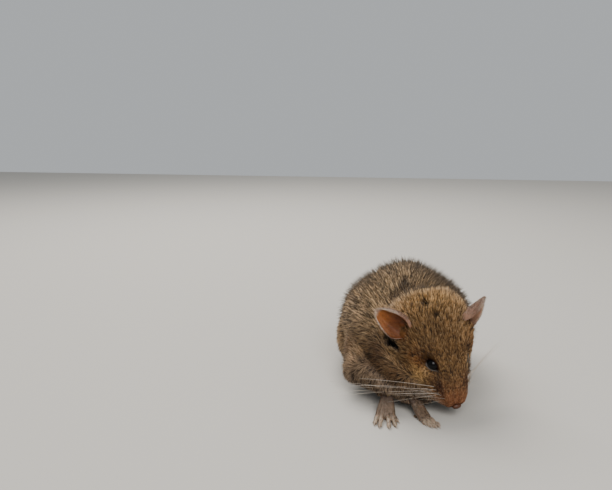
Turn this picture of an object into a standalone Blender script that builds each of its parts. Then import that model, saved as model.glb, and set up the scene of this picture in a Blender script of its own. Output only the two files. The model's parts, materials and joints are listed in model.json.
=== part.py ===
"""Field mouse, life size: crouched on all fours, back arched, head bowed and turned to its left.

The frame has +Z up with the floor at Z 0. The mouse faces -Y, so its left side is +X. The origin
is the middle of the bottom of the whole animal's box. Sizes here are in millimetres and are
turned to metres where a mesh is made.

The flesh is modelled whole, out to the tips of the coat: lofts and tubes are fused by a voxel
remesh, smoothed, and parted into named pieces by thin cuts. Feet, ears, eyes, nose and tail are
made on their own and meet the flesh across the same thin gap.
"""

import math
from dataclasses import dataclass

import bmesh
import bpy
from mathutils import Matrix, Vector

MM = 0.001
GAP = 0.3  # clear space between neighbouring pieces
SIDES = ("right", "left")

# ---- driving dimensions, in millimetres and degrees -------------------------------------------

# The head: its own frame starts at the nose tip and is turned by these angles from facing -Y.
NOSE_TIP = Vector((13.6, -27.4, 3.1))
HEAD_YAW = 34.0  # towards the mouse's left
HEAD_PITCH = 54.0  # below the horizon
HEAD_ROLL = 10.0  # positive lifts the left side

# Each eye's middle: aside of the midline, behind the nose tip, above.
EYE_MIDDLE = {"right": (3.9, 11.2, 3.05), "left": (4.45, 11.6, 2.3)}
EYE_RADIUS = 1.72

EAR_BACK = {"right": 22.7, "left": 21.4}  # ear root behind the nose tip
EAR_ASIDE = {"right": 10.4, "left": 9.4}
EAR_ABOVE = 3.4
EAR_ROOT = 3.4  # how far its root runs into the head
EAR_LENGTH = {"right": 9.1, "left": 10.6}
EAR_HALF_WIDTH = 4.9  # measured round its curl
EAR_SKEW = 0.22  # how much wider its inner half is than its outer half
EAR_ROLL = 62.0  # how far its inner edge turns over, on top of its curl
EAR_WALL = 0.6
# Each ear's axis and the way that it opens, as shares of sideways, upwards and backwards.
EAR_AXIS = {"right": (0.72, 0.05, 0.69), "left": (0.95, 0.06, 0.34)}
EAR_OPENING = {"right": (0.35, 0.80, -0.45), "left": (0.70, 0.50, -0.45)}

WHISKER_RADIUS = 0.17
WHISKER_ROWS = (0, 2, 3)  # rows of the whisker pad, from the lowest, that have a long whisker
# Each side's longest whisker, and how far the lowest row runs back and up for each part sideways.
WHISKERS = {"right": (26.0, 0.20, -0.25), "left": (16.5, 0.60, 0.05)}

TAIL_BASE_RADIUS = 1.9
TAIL_TIP_RADIUS = 0.45

FLESH_VOXEL = 0.55
FLESH_TRIANGLES = 1620
FOOT_VOXEL = 0.2
FOREFOOT_TRIANGLES = 315
HINDFOOT_TRIANGLES = 310


@dataclass(frozen=True)
class Section:
    """One cross-section of a loft: its middle, half width, and reach above and below the middle."""

    middle: Vector
    half_width: float
    rise: float
    drop: float


def trunk_sections():
    """The trunk from rump to chest, in upright planes, as (y, x, z, half width, rise, drop)."""
    rows = (
        (29.0, 0.0, 9.6, 3.6, 4.0, 4.6),
        (26.6, 0.0, 10.6, 8.8, 8.6, 7.8),
        (22.0, 0.0, 12.2, 13.8, 12.4, 10.2),
        (16.5, 0.1, 13.6, 16.8, 15.2, 11.6),
        (10.0, 0.3, 14.5, 18.2, 16.6, 12.4),
        (0.0, 0.6, 15.0, 18.2, 15.6, 12.8),
        (-8.0, 1.2, 15.0, 16.6, 12.8, 12.4),
        (-14.5, 2.2, 14.0, 14.0, 10.4, 11.0),
        (-19.5, 3.0, 12.0, 10.8, 8.6, 9.0),
        (-23.5, 3.2, 9.0, 7.8, 6.0, 7.0),
        (-26.0, 3.4, 6.8, 4.6, 3.6, 4.4),
    )
    return [Section(Vector((x, y, z)), w, r, d) for y, x, z, w, r, d in rows]


def head_sections():
    """The head from nose to nape in its own frame, as (distance behind the nose, half width, rise, drop)."""
    rows = (
        (0.7, 2.2, 1.4, 1.8),
        (3.0, 3.7, 2.6, 3.2),
        (6.0, 4.8, 3.9, 4.6),
        (9.0, 5.8, 5.0, 5.8),
        (12.5, 7.9, 6.2, 6.9),
        (16.5, 10.2, 7.2, 7.8),
        (20.5, 11.0, 7.8, 8.2),
        (25.0, 10.4, 7.7, 7.8),
        (29.0, 8.2, 6.4, 6.2),
    )
    return [Section(Vector((0.0, back, 0.0)), w, r, d) for back, w, r, d in rows]


@dataclass(frozen=True)
class Digit:
    """A toe: where it starts across the foot, its heading off the foot's own, and its length."""

    across: float
    heading: float
    length: float


@dataclass(frozen=True)
class Foot:
    """A foot, lying on the floor from its ankle or wrist to its toes."""

    ankle: Vector
    heading: float  # degrees from -Y towards +X
    sole_length: float  # ankle to the roots of the toes
    ankle_half_width: float
    knuckle_half_width: float
    thickness: float
    digit_radius: float
    claw_length: float
    digits: tuple


FORE_DIGITS_SPREAD = (
    Digit(-1.7, -30.0, 1.5),
    Digit(-1.15, -8.0, 3.2),
    Digit(0.05, -2.0, 3.5),
    Digit(1.25, 16.0, 3.2),
    Digit(1.6, 38.0, 1.4),
)
FORE_DIGITS_CLOSED = (
    Digit(-1.25, -12.0, 1.4),
    Digit(-0.95, -9.0, 2.9),
    Digit(-0.25, -2.0, 3.5),
    Digit(0.5, 4.0, 3.4),
    Digit(1.15, 12.0, 2.6),
)
HIND_DIGITS = (
    Digit(-1.5, -16.0, 3.0),
    Digit(-0.95, -6.0, 4.6),
    Digit(0.0, 0.0, 4.9),
    Digit(0.95, 7.0, 4.5),
    Digit(1.45, 20.0, 2.6),
)


def feet():
    """The four feet by node name."""
    return {
        "forefoot_right": Foot(
            Vector((-3.5, -25.4, 5.2)), -2.0, 5.2, 1.25, 2.35, 1.0, 0.62, 0.8, FORE_DIGITS_SPREAD
        ),
        "forefoot_left": Foot(
            Vector((3.1, -25.2, 5.0)), 36.0, 5.2, 1.25, 1.75, 1.0, 0.6, 0.9, FORE_DIGITS_CLOSED
        ),
        "hindfoot_right": Foot(
            Vector((-9.6, 17.5, 1.25)), -8.0, 12.5, 1.6, 2.0, 1.2, 0.62, 1.1, HIND_DIGITS
        ),
        "hindfoot_left": Foot(
            Vector((9.6, 17.5, 1.25)), 8.0, 12.5, 1.6, 2.0, 1.2, 0.62, 1.1, mirrored(HIND_DIGITS)
        ),
    }


def mirrored(digits):
    """The same toes on the other foot."""
    return tuple(Digit(-d.across, -d.heading, d.length) for d in reversed(digits))


# ---- meshes -----------------------------------------------------------------------------------


def smooth_rows(rows, steps):
    """Rows of numbers with Catmull-Rom rows between them, so that a loft has no kinks."""
    padded = [
        [2 * a - b for a, b in zip(rows[0], rows[1])],
        *rows,
        [2 * a - b for a, b in zip(rows[-1], rows[-2])],
    ]
    made = []
    for before, start, end, after in zip(padded, padded[1:], padded[2:], padded[3:]):
        for step in range(steps):
            t = step / steps
            made.append([
                0.5 * (2 * b + (c - a) * t + (2 * a - 5 * b + 4 * c - d) * t**2
                       + (3 * b - a - 3 * c + d) * t**3)
                for a, b, c, d in zip(before, start, end, after)
            ])
    return [*made, rows[-1]]


def skinned_rings(mesh, rings):
    """Faces between neighbouring rings of vertices, and a fan to each end ring's middle."""
    for near, far in zip(rings, rings[1:]):
        for i, vertex in enumerate(near):
            j = (i + 1) % len(near)
            mesh.faces.new((vertex, near[j], far[j], far[i]))
    for ring in (rings[0], rings[-1]):
        middle = mesh.verts.new(sum((v.co for v in ring), Vector()) / len(ring))
        for i, vertex in enumerate(ring):
            mesh.faces.new((vertex, ring[(i + 1) % len(ring)], middle))
    bmesh.ops.recalc_face_normals(mesh, faces=mesh.faces)


def loft(mesh, sections, place, around=32, steps=4, peak=1.0, spread=1.0):
    """Skins smooth ovals through the sections. place is the frame that they are given in.

    A peak above 1 narrows the upper half of each oval, as an arched back does. A spread above 1
    squares the lower half, as a belly does on folded legs.
    """
    rows = [[*s.middle, s.half_width, s.rise, s.drop] for s in sections]
    rings = []
    for x, y, z, half_width, rise, drop in smooth_rows(rows, steps):
        ring = []
        for i in range(around):
            across, upright = math.cos(2 * math.pi * i / around), math.sin(2 * math.pi * i / around)
            power = peak if upright > 0 else 1 / spread
            across = math.copysign(abs(across) ** power, across)
            if upright < 0:
                upright = -abs(upright) ** power
            reach = rise if upright > 0 else drop
            point = Vector((x + half_width * across, y, z + reach * upright))
            ring.append(mesh.verts.new(place @ point * MM))
        rings.append(ring)
    skinned_rings(mesh, rings)


def tube(mesh, points, radii, around=12, round_steps=3, flat_start=False):
    """A round tube through the points, its radius given at each. Its ends are domed in some steps."""
    points = [Vector(p) for p in points]
    first = (points[0] - points[1]).normalized()
    last = (points[-1] - points[-2]).normalized()
    domes = [math.pi / 2 * (i + 1) / (round_steps + 1) for i in range(round_steps)]
    rows = []
    if not flat_start:
        rows = [(points[0] + first * radii[0] * math.sin(a), radii[0] * math.cos(a)) for a in domes[::-1]]
    rows += list(zip(points, radii))
    rows += [(points[-1] + last * radii[-1] * math.sin(a), radii[-1] * math.cos(a)) for a in domes]
    rings = []
    across = None
    for i, (point, radius) in enumerate(rows):
        ahead = rows[min(i + 1, len(rows) - 1)][0] - rows[max(i - 1, 0)][0]
        ahead.normalize()
        across = (across or ahead.orthogonal()).cross(ahead).cross(ahead) * -1
        across = across - ahead * across.dot(ahead)
        across.normalize()
        up = ahead.cross(across)
        turns = [2 * math.pi * k / around for k in range(around)]
        rings.append([
            mesh.verts.new((point + radius * (math.cos(t) * across + math.sin(t) * up)) * MM)
            for t in turns
        ])
    skinned_rings(mesh, rings)


def ellipsoid(mesh, place, radii, around=24, rows=14):
    """An ellipsoid of these three radii in a frame."""
    scale = Matrix.Diagonal((*radii, 1.0))
    made = bmesh.ops.create_uvsphere(mesh, u_segments=around, v_segments=rows, radius=1.0)
    bmesh.ops.transform(mesh, matrix=Matrix.Scale(MM, 4) @ place @ scale, verts=made["verts"])


def object_of(name, mesh):
    """A scene object from a bmesh, which is freed."""
    data = bpy.data.meshes.new(name)
    mesh.to_mesh(data)
    mesh.free()
    made = bpy.data.objects.new(name, data)
    bpy.context.scene.collection.objects.link(made)
    return made


def applied(obj):
    """Bakes the modifiers of an object into its mesh."""
    bpy.context.view_layer.update()
    graph = bpy.context.evaluated_depsgraph_get()
    data = bpy.data.meshes.new_from_object(obj.evaluated_get(graph))
    obj.modifiers.clear()
    obj.data = data
    return obj


def fused(obj, voxel, smoothing, triangles):
    """One even skin round all that the object holds, its creases softened, in about so many faces."""
    remesh = obj.modifiers.new("fuse", "REMESH")
    remesh.mode = "VOXEL"
    remesh.voxel_size = voxel * MM
    soften = obj.modifiers.new("soften", "SMOOTH")
    soften.factor = 0.5
    soften.iterations = smoothing
    applied(obj)
    thin = obj.modifiers.new("thin", "DECIMATE")
    thin.use_collapse_triangulate = True
    thin.ratio = triangles / (2 * len(obj.data.polygons))
    return applied(obj)


def copied(obj, name):
    """A copy of an object with its own mesh."""
    made = bpy.data.objects.new(name, obj.data.copy())
    bpy.context.scene.collection.objects.link(made)
    return made


def grown(obj, by):
    """A copy of an object that stands proud of it all round. A foot's copy is its plain hull."""
    made = copied(obj, obj.name + "_grown")
    if "foot" in obj.name:
        mesh = bmesh.new()
        mesh.from_mesh(made.data)
        hull = bmesh.ops.convex_hull(mesh, input=mesh.verts)
        inner = {v for v in hull["geom_interior"] + hull["geom_unused"] if isinstance(v, bmesh.types.BMVert)}
        bmesh.ops.delete(mesh, geom=list(inner), context="VERTS")
        skin = {face for face in hull["geom"] if isinstance(face, bmesh.types.BMFace)}
        bmesh.ops.delete(mesh, geom=[face for face in mesh.faces if face not in skin], context="FACES")
        mesh.to_mesh(made.data)
        mesh.free()
    swell = made.modifiers.new("swell", "DISPLACE")
    swell.mid_level = 0.0
    swell.strength = by * MM
    return applied(made)


def combined(obj, other, operation):
    """Cuts, joins or keeps what two objects share, and leaves the result in the first one."""
    boolean = obj.modifiers.new(operation.lower(), "BOOLEAN")
    boolean.operation = operation
    boolean.solver = "EXACT"
    boolean.object = other
    return applied(obj)


def removed(obj):
    """Deletes a cutter once it has been used."""
    bpy.data.objects.remove(obj)


def carved(obj, neighbour):
    """Takes room for a neighbouring piece out of an object, with the gap all round."""
    cutter = grown(neighbour, GAP)
    combined(obj, cutter, "DIFFERENCE")
    removed(cutter)


def largest_body(obj):
    """Keeps the largest of the separate bodies in a mesh, and drops crumbs that a cut left."""
    mesh = bmesh.new()
    mesh.from_mesh(obj.data)
    unseen = set(mesh.verts)
    bodies = []
    while unseen:
        body, front = set(), [unseen.pop()]
        while front:
            vertex = front.pop()
            body.add(vertex)
            for edge in vertex.link_edges:
                other = edge.other_vert(vertex)
                if other in unseen:
                    unseen.remove(other)
                    front.append(other)
        bodies.append(body)
    bodies.sort(key=len)
    bmesh.ops.delete(mesh, geom=[v for body in bodies[:-1] for v in body], context="VERTS")
    bmesh.ops.recalc_face_normals(mesh, faces=mesh.faces)
    mesh.to_mesh(obj.data)
    mesh.free()
    return obj


def parted(body, name, cutter, clear_cutter):
    """Takes what lies inside the cutter off the body as a piece of its own, with a gap between."""
    piece = combined(copied(body, name), cutter, "INTERSECT")
    combined(body, clear_cutter, "DIFFERENCE")
    removed(cutter)
    removed(clear_cutter)
    return largest_body(piece)


# ---- frames -----------------------------------------------------------------------------------


def head_frame():
    """The head's frame: X to the mouse's left, Y back from the nose tip, Z out of its crown."""
    turn = Matrix.Rotation(math.radians(HEAD_YAW), 4, "Z")
    bow = Matrix.Rotation(math.radians(HEAD_PITCH), 4, "X")
    roll = Matrix.Rotation(math.radians(-HEAD_ROLL), 4, "Y")
    return Matrix.Translation(NOSE_TIP) @ turn @ bow @ roll


def frame_along(start, ahead, up=Vector((0.0, 0.0, 1.0))):
    """A frame at a point whose Y runs along a direction, with Z as near to up as can be."""
    forward = Vector(ahead).normalized()
    across = forward.cross(up).normalized()
    above = across.cross(forward)
    turn = Matrix((across, forward, above)).transposed().to_4x4()
    return Matrix.Translation(start) @ turn


# ---- pieces -----------------------------------------------------------------------------------


def elbow_of(side):
    """The point of the elbow, out to the side and behind the wrist."""
    return Vector((0.8 + side * 12.0, -16.2, 6.9))


def make_flesh():
    """Trunk, neck, head, thighs and forearms in one skin."""
    mesh = bmesh.new()
    here = Matrix.Identity(4)
    head = head_frame()
    loft(mesh, trunk_sections(), here, peak=1.4, spread=1.25)
    loft(mesh, head_sections(), head)
    nape = head @ Vector((0.0, 23.0, -1.0))
    tube(mesh, ((1.0, 0.0, 15.5), (3.6, -8.0, 17.0), nape), (12.5, 11.2, 8.4), around=28, round_steps=4)
    for side in (-1, 1):
        hip = frame_along(Vector((side * 12.0, 6.5, 9.6)), (side * 0.06, -1.0, -0.16))
        ellipsoid(mesh, hip, (7.4, 13.4, 9.2))
        cheek = head @ Matrix.Translation((side * 5.2, 16.5, -2.4))
        ellipsoid(mesh, cheek, (5.2, 6.2, 5.6))
        pad = head @ Matrix.Translation((side * 2.0, 4.6, -0.9))
        ellipsoid(mesh, pad, (2.6, 3.0, 2.4))
        shoulder, elbow = Vector((1.0 + side * 9.4, -8.5, 11.0)), elbow_of(side)
        tube(mesh, (shoulder, shoulder.lerp(elbow, 0.5), elbow), (7.4, 6.2, 4.4), around=24)
    chin = head @ Matrix.Translation((0.0, 6.6, -3.3))
    ellipsoid(mesh, chin, (2.5, 3.2, 2.2))
    for name, foot in feet().items():
        if name.startswith("fore"):
            elbow = elbow_of(math.copysign(1, foot.ankle.x))
            forearm = elbow.lerp(foot.ankle, 0.6) + Vector((0.0, 0.0, 0.5))
            tube(mesh, (elbow, forearm, foot.ankle), (4.2, 2.8, 1.75))
    return fused(object_of("trunk", mesh), FLESH_VOXEL, 8, FLESH_TRIANGLES)


def make_foot(name, foot):
    """A foot with its toes and claws, its underside flat on the floor."""
    mesh = bmesh.new()
    ahead = Vector((math.sin(math.radians(foot.heading)), -math.cos(math.radians(foot.heading)), 0.0))
    across = Vector((-ahead.y, ahead.x, 0.0))
    floor_level = foot.digit_radius - 0.14
    knuckles = foot.ankle + ahead * foot.sole_length
    knuckles.z = foot.thickness - 0.2
    heel = foot.ankle - ahead * 1.4
    radius = foot.thickness * 0.84
    for side in (-1.0, -0.33, 0.33, 1.0):
        start = heel + across * side * foot.ankle_half_width * 0.4
        end = knuckles + across * side * (foot.knuckle_half_width - radius)
        middle = start.lerp(end, 0.58)
        middle.z = end.z + (start.z - end.z) * 0.33
        tube(mesh, (start, middle, end), (foot.ankle_half_width * 0.86, radius * 1.1, radius))
    for digit in foot.digits:
        turn = math.radians(foot.heading + digit.heading)
        toe = Vector((math.sin(turn), -math.cos(turn), 0.0))
        root = knuckles + across * digit.across
        joint = root + toe * digit.length * 0.5
        tip = root + toe * digit.length
        root.z, joint.z, tip.z = foot.thickness - 0.25, floor_level + 0.28, floor_level
        radius = foot.digit_radius
        tube(mesh, (root, joint, tip), (radius * 1.05, radius * 0.9, radius * 0.95), around=10)
        point = tip + toe * (radius + foot.claw_length)
        tube(mesh, (tip + Vector((0, 0, 0.12)), point), (0.34, 0.27), around=8, round_steps=2)
    share = FOREFOOT_TRIANGLES if name.startswith("fore") else HINDFOOT_TRIANGLES
    return fused(object_of(name, mesh), FOOT_VOXEL, 3, share)


def ear_section(side, up, columns):
    """Points across an ear at one height, run out from its middle line to each edge."""
    widest = 0.32
    if up < widest:
        width = 0.8 + 0.2 * math.sin(math.pi / 2 * up / widest)
    else:
        width = max(0.03, 1.0 - ((up - widest) / (1.0 - widest)) ** 1.75) ** 0.7
    curl = math.radians(128.0 - 30.0 * up)
    edges = []
    for way in (-1, 1):
        step = 2.0 / columns * EAR_HALF_WIDTH * width * (1 + EAR_SKEW * way * side)
        x = y = 0.0
        points = []
        for i in range(columns // 2):
            across = way * (2 * i + 1) / columns
            share = max(0.0, (across * side - 0.3) / 0.7)
            rolled = math.radians(EAR_ROLL) * share * share * (3 - 2 * share) * (1 - 0.45 * up)
            heading = curl * across / 2 + rolled * side
            x += way * step * math.cos(heading)
            y += way * step * math.sin(heading)
            points.append((x, y))
        edges.append(points)
    return [*reversed(edges[0]), (0.0, 0.0), *edges[1]]


def make_ear(name, side, axis, opening):
    """A thin cupped leaf, scrolled at its root, its inner edge turned over, open to the front."""
    mesh = bmesh.new()
    columns, rows = 10, 7
    word = name.removeprefix("ear_")
    grid = []
    for j in range(rows + 1):
        up = 1.0 - (1.0 - j / rows) ** 1.45
        section = ear_section(side, up, columns)
        grid.append([
            mesh.verts.new(Vector((x, y - 1.4 * up**2, EAR_LENGTH[word] * up))) for x, y in section
        ])
    for low, high in zip(grid, grid[1:]):
        for i in range(columns):
            mesh.faces.new((low[i], low[i + 1], high[i + 1], high[i]))
    axis = Vector((side * axis[0], axis[2], axis[1])).normalized()
    opening = Vector((side * opening[0], opening[2], opening[1]))
    opening = (opening - axis * opening.dot(axis)).normalized()
    turn = Matrix((opening.cross(axis), opening, axis)).transposed().to_4x4()
    root = Matrix.Translation(Vector((side * EAR_ASIDE[word], EAR_BACK[word], EAR_ABOVE)) - axis * EAR_ROOT)
    place = Matrix.Scale(MM, 4) @ head_frame() @ root @ turn
    bmesh.ops.transform(mesh, matrix=place, verts=mesh.verts)
    ear = object_of(name, mesh)
    wall = ear.modifiers.new("wall", "SOLIDIFY")
    wall.thickness = EAR_WALL * MM
    wall.offset = 0.0
    return applied(ear)


def make_whisker(name, side, row, longest, sweep, lean):
    """One long stiff hair out of the side of the muzzle, a little bowed by its weight."""
    mesh = bmesh.new()
    head = head_frame()
    root = Vector((side * 3.4, 5.4, -1.3 + 0.85 * row))
    way = Vector((side * 1.0, sweep, lean + 0.14 * row)).normalized()
    length = longest * (1 - 0.06 * row)
    points, radii = [], []
    for step in (0.0, 0.3, 0.55, 0.8, 1.0):
        points.append(head @ (root + way * length * step) - Vector((0.0, 0.0, 0.07 * length * step**2)))
        radii.append(WHISKER_RADIUS * (1 - 0.4 * step))
    tube(mesh, points, radii, around=6, round_steps=1)
    return object_of(name, mesh)


def make_eye(name, side):
    """An eyeball."""
    mesh = bmesh.new()
    aside, back, above = EYE_MIDDLE[name.removeprefix("eye_")]
    place = head_frame() @ Matrix.Translation((side * aside, back, above))
    ellipsoid(mesh, place, (EYE_RADIUS,) * 3, around=14, rows=8)
    return object_of(name, mesh)


def make_nose():
    """The bare pad at the tip of the muzzle."""
    mesh = bmesh.new()
    place = head_frame() @ Matrix.Translation((0.0, 0.5, 0.1))
    ellipsoid(mesh, place, (1.15, 0.95, 0.85), around=12, rows=8)
    return object_of("nose", mesh)


def tail_route():
    """The tail's centreline from inside the rump to its tip, laid on the floor behind the body."""
    marks = (
        (0.0, 21.0, 7.5),
        (0.3, 26.0, 4.9),
        (1.6, 31.0, 2.7),
        (3.6, 37.0, 1.75),
        (6.0, 45.0, 1.5),
        (5.6, 54.0, 1.3),
        (0.0, 61.0, 1.12),
        (-8.0, 63.0, 0.92),
        (-15.0, 59.5, 0.74),
        (-19.0, 52.5, 0.56),
        (-19.4, 46.0, 0.38),
    )
    return [Vector(row) for row in smooth_rows([list(m) for m in marks], 3)]


def make_tail():
    """The tail in three lengths, each tapering into the next."""
    route = tail_route()
    names = ("tail_root", "tail_middle", "tail_tip")
    last = len(route) - 1
    taper = [
        TAIL_BASE_RADIUS + (TAIL_TIP_RADIUS - TAIL_BASE_RADIUS) * (i / last) ** 0.8
        for i in range(last + 1)
    ]
    ends = [round(last * share) for share in (0.0, 0.4, 0.7, 1.0)]
    lengths = []
    for name, start, end in zip(names, ends, ends[1:]):
        mesh = bmesh.new()
        points, radii = route[start:end + 1], taper[start:end + 1]
        if start:
            ahead = (points[0] - route[start - 1]).normalized()
            facing = (points[0] + ahead * GAP, points[0] + ahead * 3 * GAP)
            points, radii = [*facing, *points[1:]], [radii[0], *radii]
        tube(mesh, points, radii, around=10, round_steps=2 if end == last else 0, flat_start=True)
        lengths.append(object_of(name, mesh))
    return lengths


# ---- cutters ----------------------------------------------------------------------------------


def ellipsoid_cutters(place, radii):
    """A cutter for a rounded piece, and the larger one that clears the gap round it."""
    made = []
    for name, extra in (("cutter", 0.0), ("clear_cutter", GAP)):
        mesh = bmesh.new()
        ellipsoid(mesh, place, [r + extra for r in radii], around=18, rows=10)
        made.append(object_of(name, mesh))
    return made


def halfspace_cutters(point, normal, half_size=60.0):
    """A cutter for all that lies ahead of a plane, and one that reaches the gap further back."""
    made = []
    normal = Vector(normal).normalized()
    for name, extra in (("cutter", 0.0), ("clear_cutter", GAP)):
        mesh = bmesh.new()
        bmesh.ops.create_cube(mesh, size=2 * half_size)
        middle = Vector(point) + normal * (half_size - extra)
        place = Matrix.Scale(MM, 4) @ frame_along(middle, normal)
        bmesh.ops.transform(mesh, matrix=place, verts=mesh.verts)
        made.append(object_of(name, mesh))
    return made


def stood_flat(obj):
    """Cuts off what dips below the floor, so that the piece stands on small flats."""
    if min(v.co.z for v in obj.data.vertices) >= 0.0:
        return
    mesh = bmesh.new()
    bmesh.ops.create_cube(mesh, size=1.0)
    depth = 10.0
    place = Matrix.Translation((0.0, 0.0, -depth / 2)) @ Matrix.Diagonal((400.0, 400.0, depth, 1.0))
    bmesh.ops.transform(mesh, matrix=Matrix.Scale(MM, 4) @ place, verts=mesh.verts)
    floor = object_of("floor_cutter", mesh)
    combined(obj, floor, "DIFFERENCE")
    removed(floor)


# ---- the animal -------------------------------------------------------------------------------


def material(name, colour, roughness):
    """A plain finish: sRGB hex colour and roughness."""
    made = bpy.data.materials.new(name)
    made.use_nodes = True
    channels = [int(colour[i:i + 2], 16) / 255 for i in (0, 2, 4)]
    linear = [c / 12.92 if c <= 0.04045 else ((c + 0.055) / 1.055) ** 2.4 for c in channels]
    shader = made.node_tree.nodes["Principled BSDF"]
    shader.inputs["Base Color"].default_value = (*linear, 1.0)
    shader.inputs["Roughness"].default_value = roughness
    shader.inputs["Metallic"].default_value = 0.0
    made.diffuse_color = (*linear, 1.0)
    return made


def main():
    """Builds the mouse piece by piece, then sets the origin under the middle of its box."""
    for obj in list(bpy.data.objects):
        bpy.data.objects.remove(obj)

    body = make_flesh()
    whole = copied(body, "whole")
    foot_pieces = [make_foot(name, foot) for name, foot in feet().items()]
    tail = make_tail()
    nose = make_nose()
    eyes = [make_eye(f"eye_{name}", side) for name, side in zip(SIDES, (-1, 1))]
    ears = [
        make_ear(f"ear_{name}", side, EAR_AXIS[name], EAR_OPENING[name])
        for name, side in zip(SIDES, (-1, 1))
    ]

    whiskers = [
        make_whisker(f"whisker_{name}_{row}", side, row, *WHISKERS[name])
        for name, side in zip(SIDES, (-1, 1))
        for row in WHISKER_ROWS
    ]
    for piece in (*ears, *whiskers):
        carved(piece, whole)
        largest_body(piece)
    removed(whole)
    for piece in (*foot_pieces, tail[0], nose, *eyes):
        carved(body, piece)
    largest_body(body)

    forelegs = []
    for name, foot in list(feet().items())[:2]:
        elbow = elbow_of(math.copysign(1, foot.ankle.x))
        along = foot.ankle - elbow
        place = frame_along(elbow.lerp(foot.ankle, 0.40), along)
        cutters = ellipsoid_cutters(place, (5.2, along.length * 0.80, 6.4))
        forelegs.append(parted(body, name.replace("foot", "leg"), *cutters))

    head_place = head_frame()
    nape = head_place @ Vector((0.0, 24.0, 8.0))
    throat = head_place @ Vector((0.0, 15.0, -8.5))
    across = head_place.to_3x3() @ Vector((1.0, 0.0, 0.0))
    ahead = (throat - nape).cross(across).normalized()
    if ahead.y > 0:
        ahead.negate()
    head = parted(body, "head", *halfspace_cutters((nape + throat) / 2, ahead))
    neck_normal = Vector((0.12, -1.0, -0.18))
    neck = parted(body, "neck", *halfspace_cutters(Vector((3.0, -12.0, 16.0)), neck_normal))

    thighs = []
    for name, side in zip(SIDES, (-1, 1)):
        place = frame_along(Vector((side * 15.5, 9.0, 8.6)), (side * 0.06, -1.0, -0.22))
        cutters = ellipsoid_cutters(place, (8.6, 13.4, 10.6))
        thighs.append(parted(body, f"thigh_{name}", *cutters))
    largest_body(body)

    fur = material("agouti_fur", "9C7A52", 0.85)
    skin = material("pink_skin", "B08C78", 0.55)
    ear_skin = material("ear_skin", "B4785A", 0.5)
    eye_black = material("eye_black", "0A0808", 0.1)
    nose_skin = material("nose_skin", "A05A48", 0.45)
    hair = material("pale_hair", "B4A89A", 0.4)
    finishes = (
        (fur, (body, head, neck, *forelegs, *thighs)),
        (skin, (*foot_pieces, *tail)),
        (ear_skin, ears),
        (eye_black, eyes),
        (nose_skin, (nose,)),
        (hair, whiskers),
    )
    for finish, pieces in finishes:
        for piece in pieces:
            piece.data.materials.clear()
            piece.data.materials.append(finish)
            stood_flat(piece)
            piece.data.shade_smooth()
            piece.data.set_sharp_from_angle(angle=math.radians(40.0))

    shown = [piece for _, pieces in finishes for piece in pieces]
    corners = [v.co for piece in shown for v in piece.data.vertices]
    low = Vector(map(min, *corners))
    high = Vector(map(max, *corners))
    to_origin = Matrix.Translation((-(low.x + high.x) / 2, -(low.y + high.y) / 2, 0.0))
    for piece in shown:
        piece.data.transform(to_origin)


main()
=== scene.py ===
"""Field mouse, life size: crouched on all fours, back arched, head bowed and turned to its left.

One skin stands in for the flesh of the frame and lies inside it by the depth of the coat. Tufts of
fur are set over it by Geometry Nodes, along the lie of the coat. Eyes, ears, nose pad, feet, claws,
tail and whiskers are pieces of their own.

Shapes are worked out in millimetres in the animal's own axes: it faces -Y, its left is +X, and the
floor is Z 0. ROW turns those into the frame's metres.
"""

import json
import logging
import math
from dataclasses import dataclass
from enum import Enum
from typing import Any, Iterable, Sequence

import bmesh
import bpy
import numpy as np
from mathutils import Matrix, Vector, noise

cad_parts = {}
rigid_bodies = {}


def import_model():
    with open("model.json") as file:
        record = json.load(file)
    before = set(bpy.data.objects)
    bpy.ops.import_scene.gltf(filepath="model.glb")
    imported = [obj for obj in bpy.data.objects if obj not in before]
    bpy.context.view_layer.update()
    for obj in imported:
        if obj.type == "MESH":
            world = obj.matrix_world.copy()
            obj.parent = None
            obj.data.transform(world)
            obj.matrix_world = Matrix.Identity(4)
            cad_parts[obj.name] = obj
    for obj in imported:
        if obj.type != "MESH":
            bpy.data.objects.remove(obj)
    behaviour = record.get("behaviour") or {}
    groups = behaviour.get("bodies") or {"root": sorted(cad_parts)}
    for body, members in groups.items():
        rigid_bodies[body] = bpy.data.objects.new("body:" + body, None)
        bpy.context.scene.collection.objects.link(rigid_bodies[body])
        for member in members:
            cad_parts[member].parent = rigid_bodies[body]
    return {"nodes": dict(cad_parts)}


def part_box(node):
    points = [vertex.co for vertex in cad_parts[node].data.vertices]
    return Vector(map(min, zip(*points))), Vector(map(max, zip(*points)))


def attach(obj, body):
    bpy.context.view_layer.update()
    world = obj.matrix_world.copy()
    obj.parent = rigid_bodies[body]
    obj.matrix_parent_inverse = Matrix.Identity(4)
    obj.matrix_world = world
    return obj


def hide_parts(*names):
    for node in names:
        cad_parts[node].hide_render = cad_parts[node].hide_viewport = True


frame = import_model()
log = logging.getLogger("mouse")

MM = 0.001

# ---- driving dimensions, in millimetres and degrees -------------------------------------------

NOSE_TIP = Vector((13.6, -27.4, 3.1))
HEAD_YAW = 34.0  # towards the mouse's left
HEAD_PITCH = 54.0  # below the horizon
HEAD_ROLL = 10.0  # positive lifts the left side
NOSE_MIDDLE = Vector((0.0, 0.5, 0.1))  # in the head's own axes

EYE_PLACE = (4.4, 11.3, 2.75)  # sideways, behind the nose tip, above
EYE_RADIUS = 1.72
WRIST_RIGHT = (-3.5, -25.4, 5.2)
WRIST_LEFT = (3.1, -25.2, 5.0)

FLESH = ("head", "neck", "trunk", "foreleg_right", "foreleg_left", "thigh_right", "thigh_left")


class Side(Enum):
    """The two sides of the body, as the sign of X in the head's and body's axes."""

    RIGHT = -1
    LEFT = 1

    @property
    def word(self) -> str:
        """The side as it is written in piece names."""
        return self.name.lower()


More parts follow.
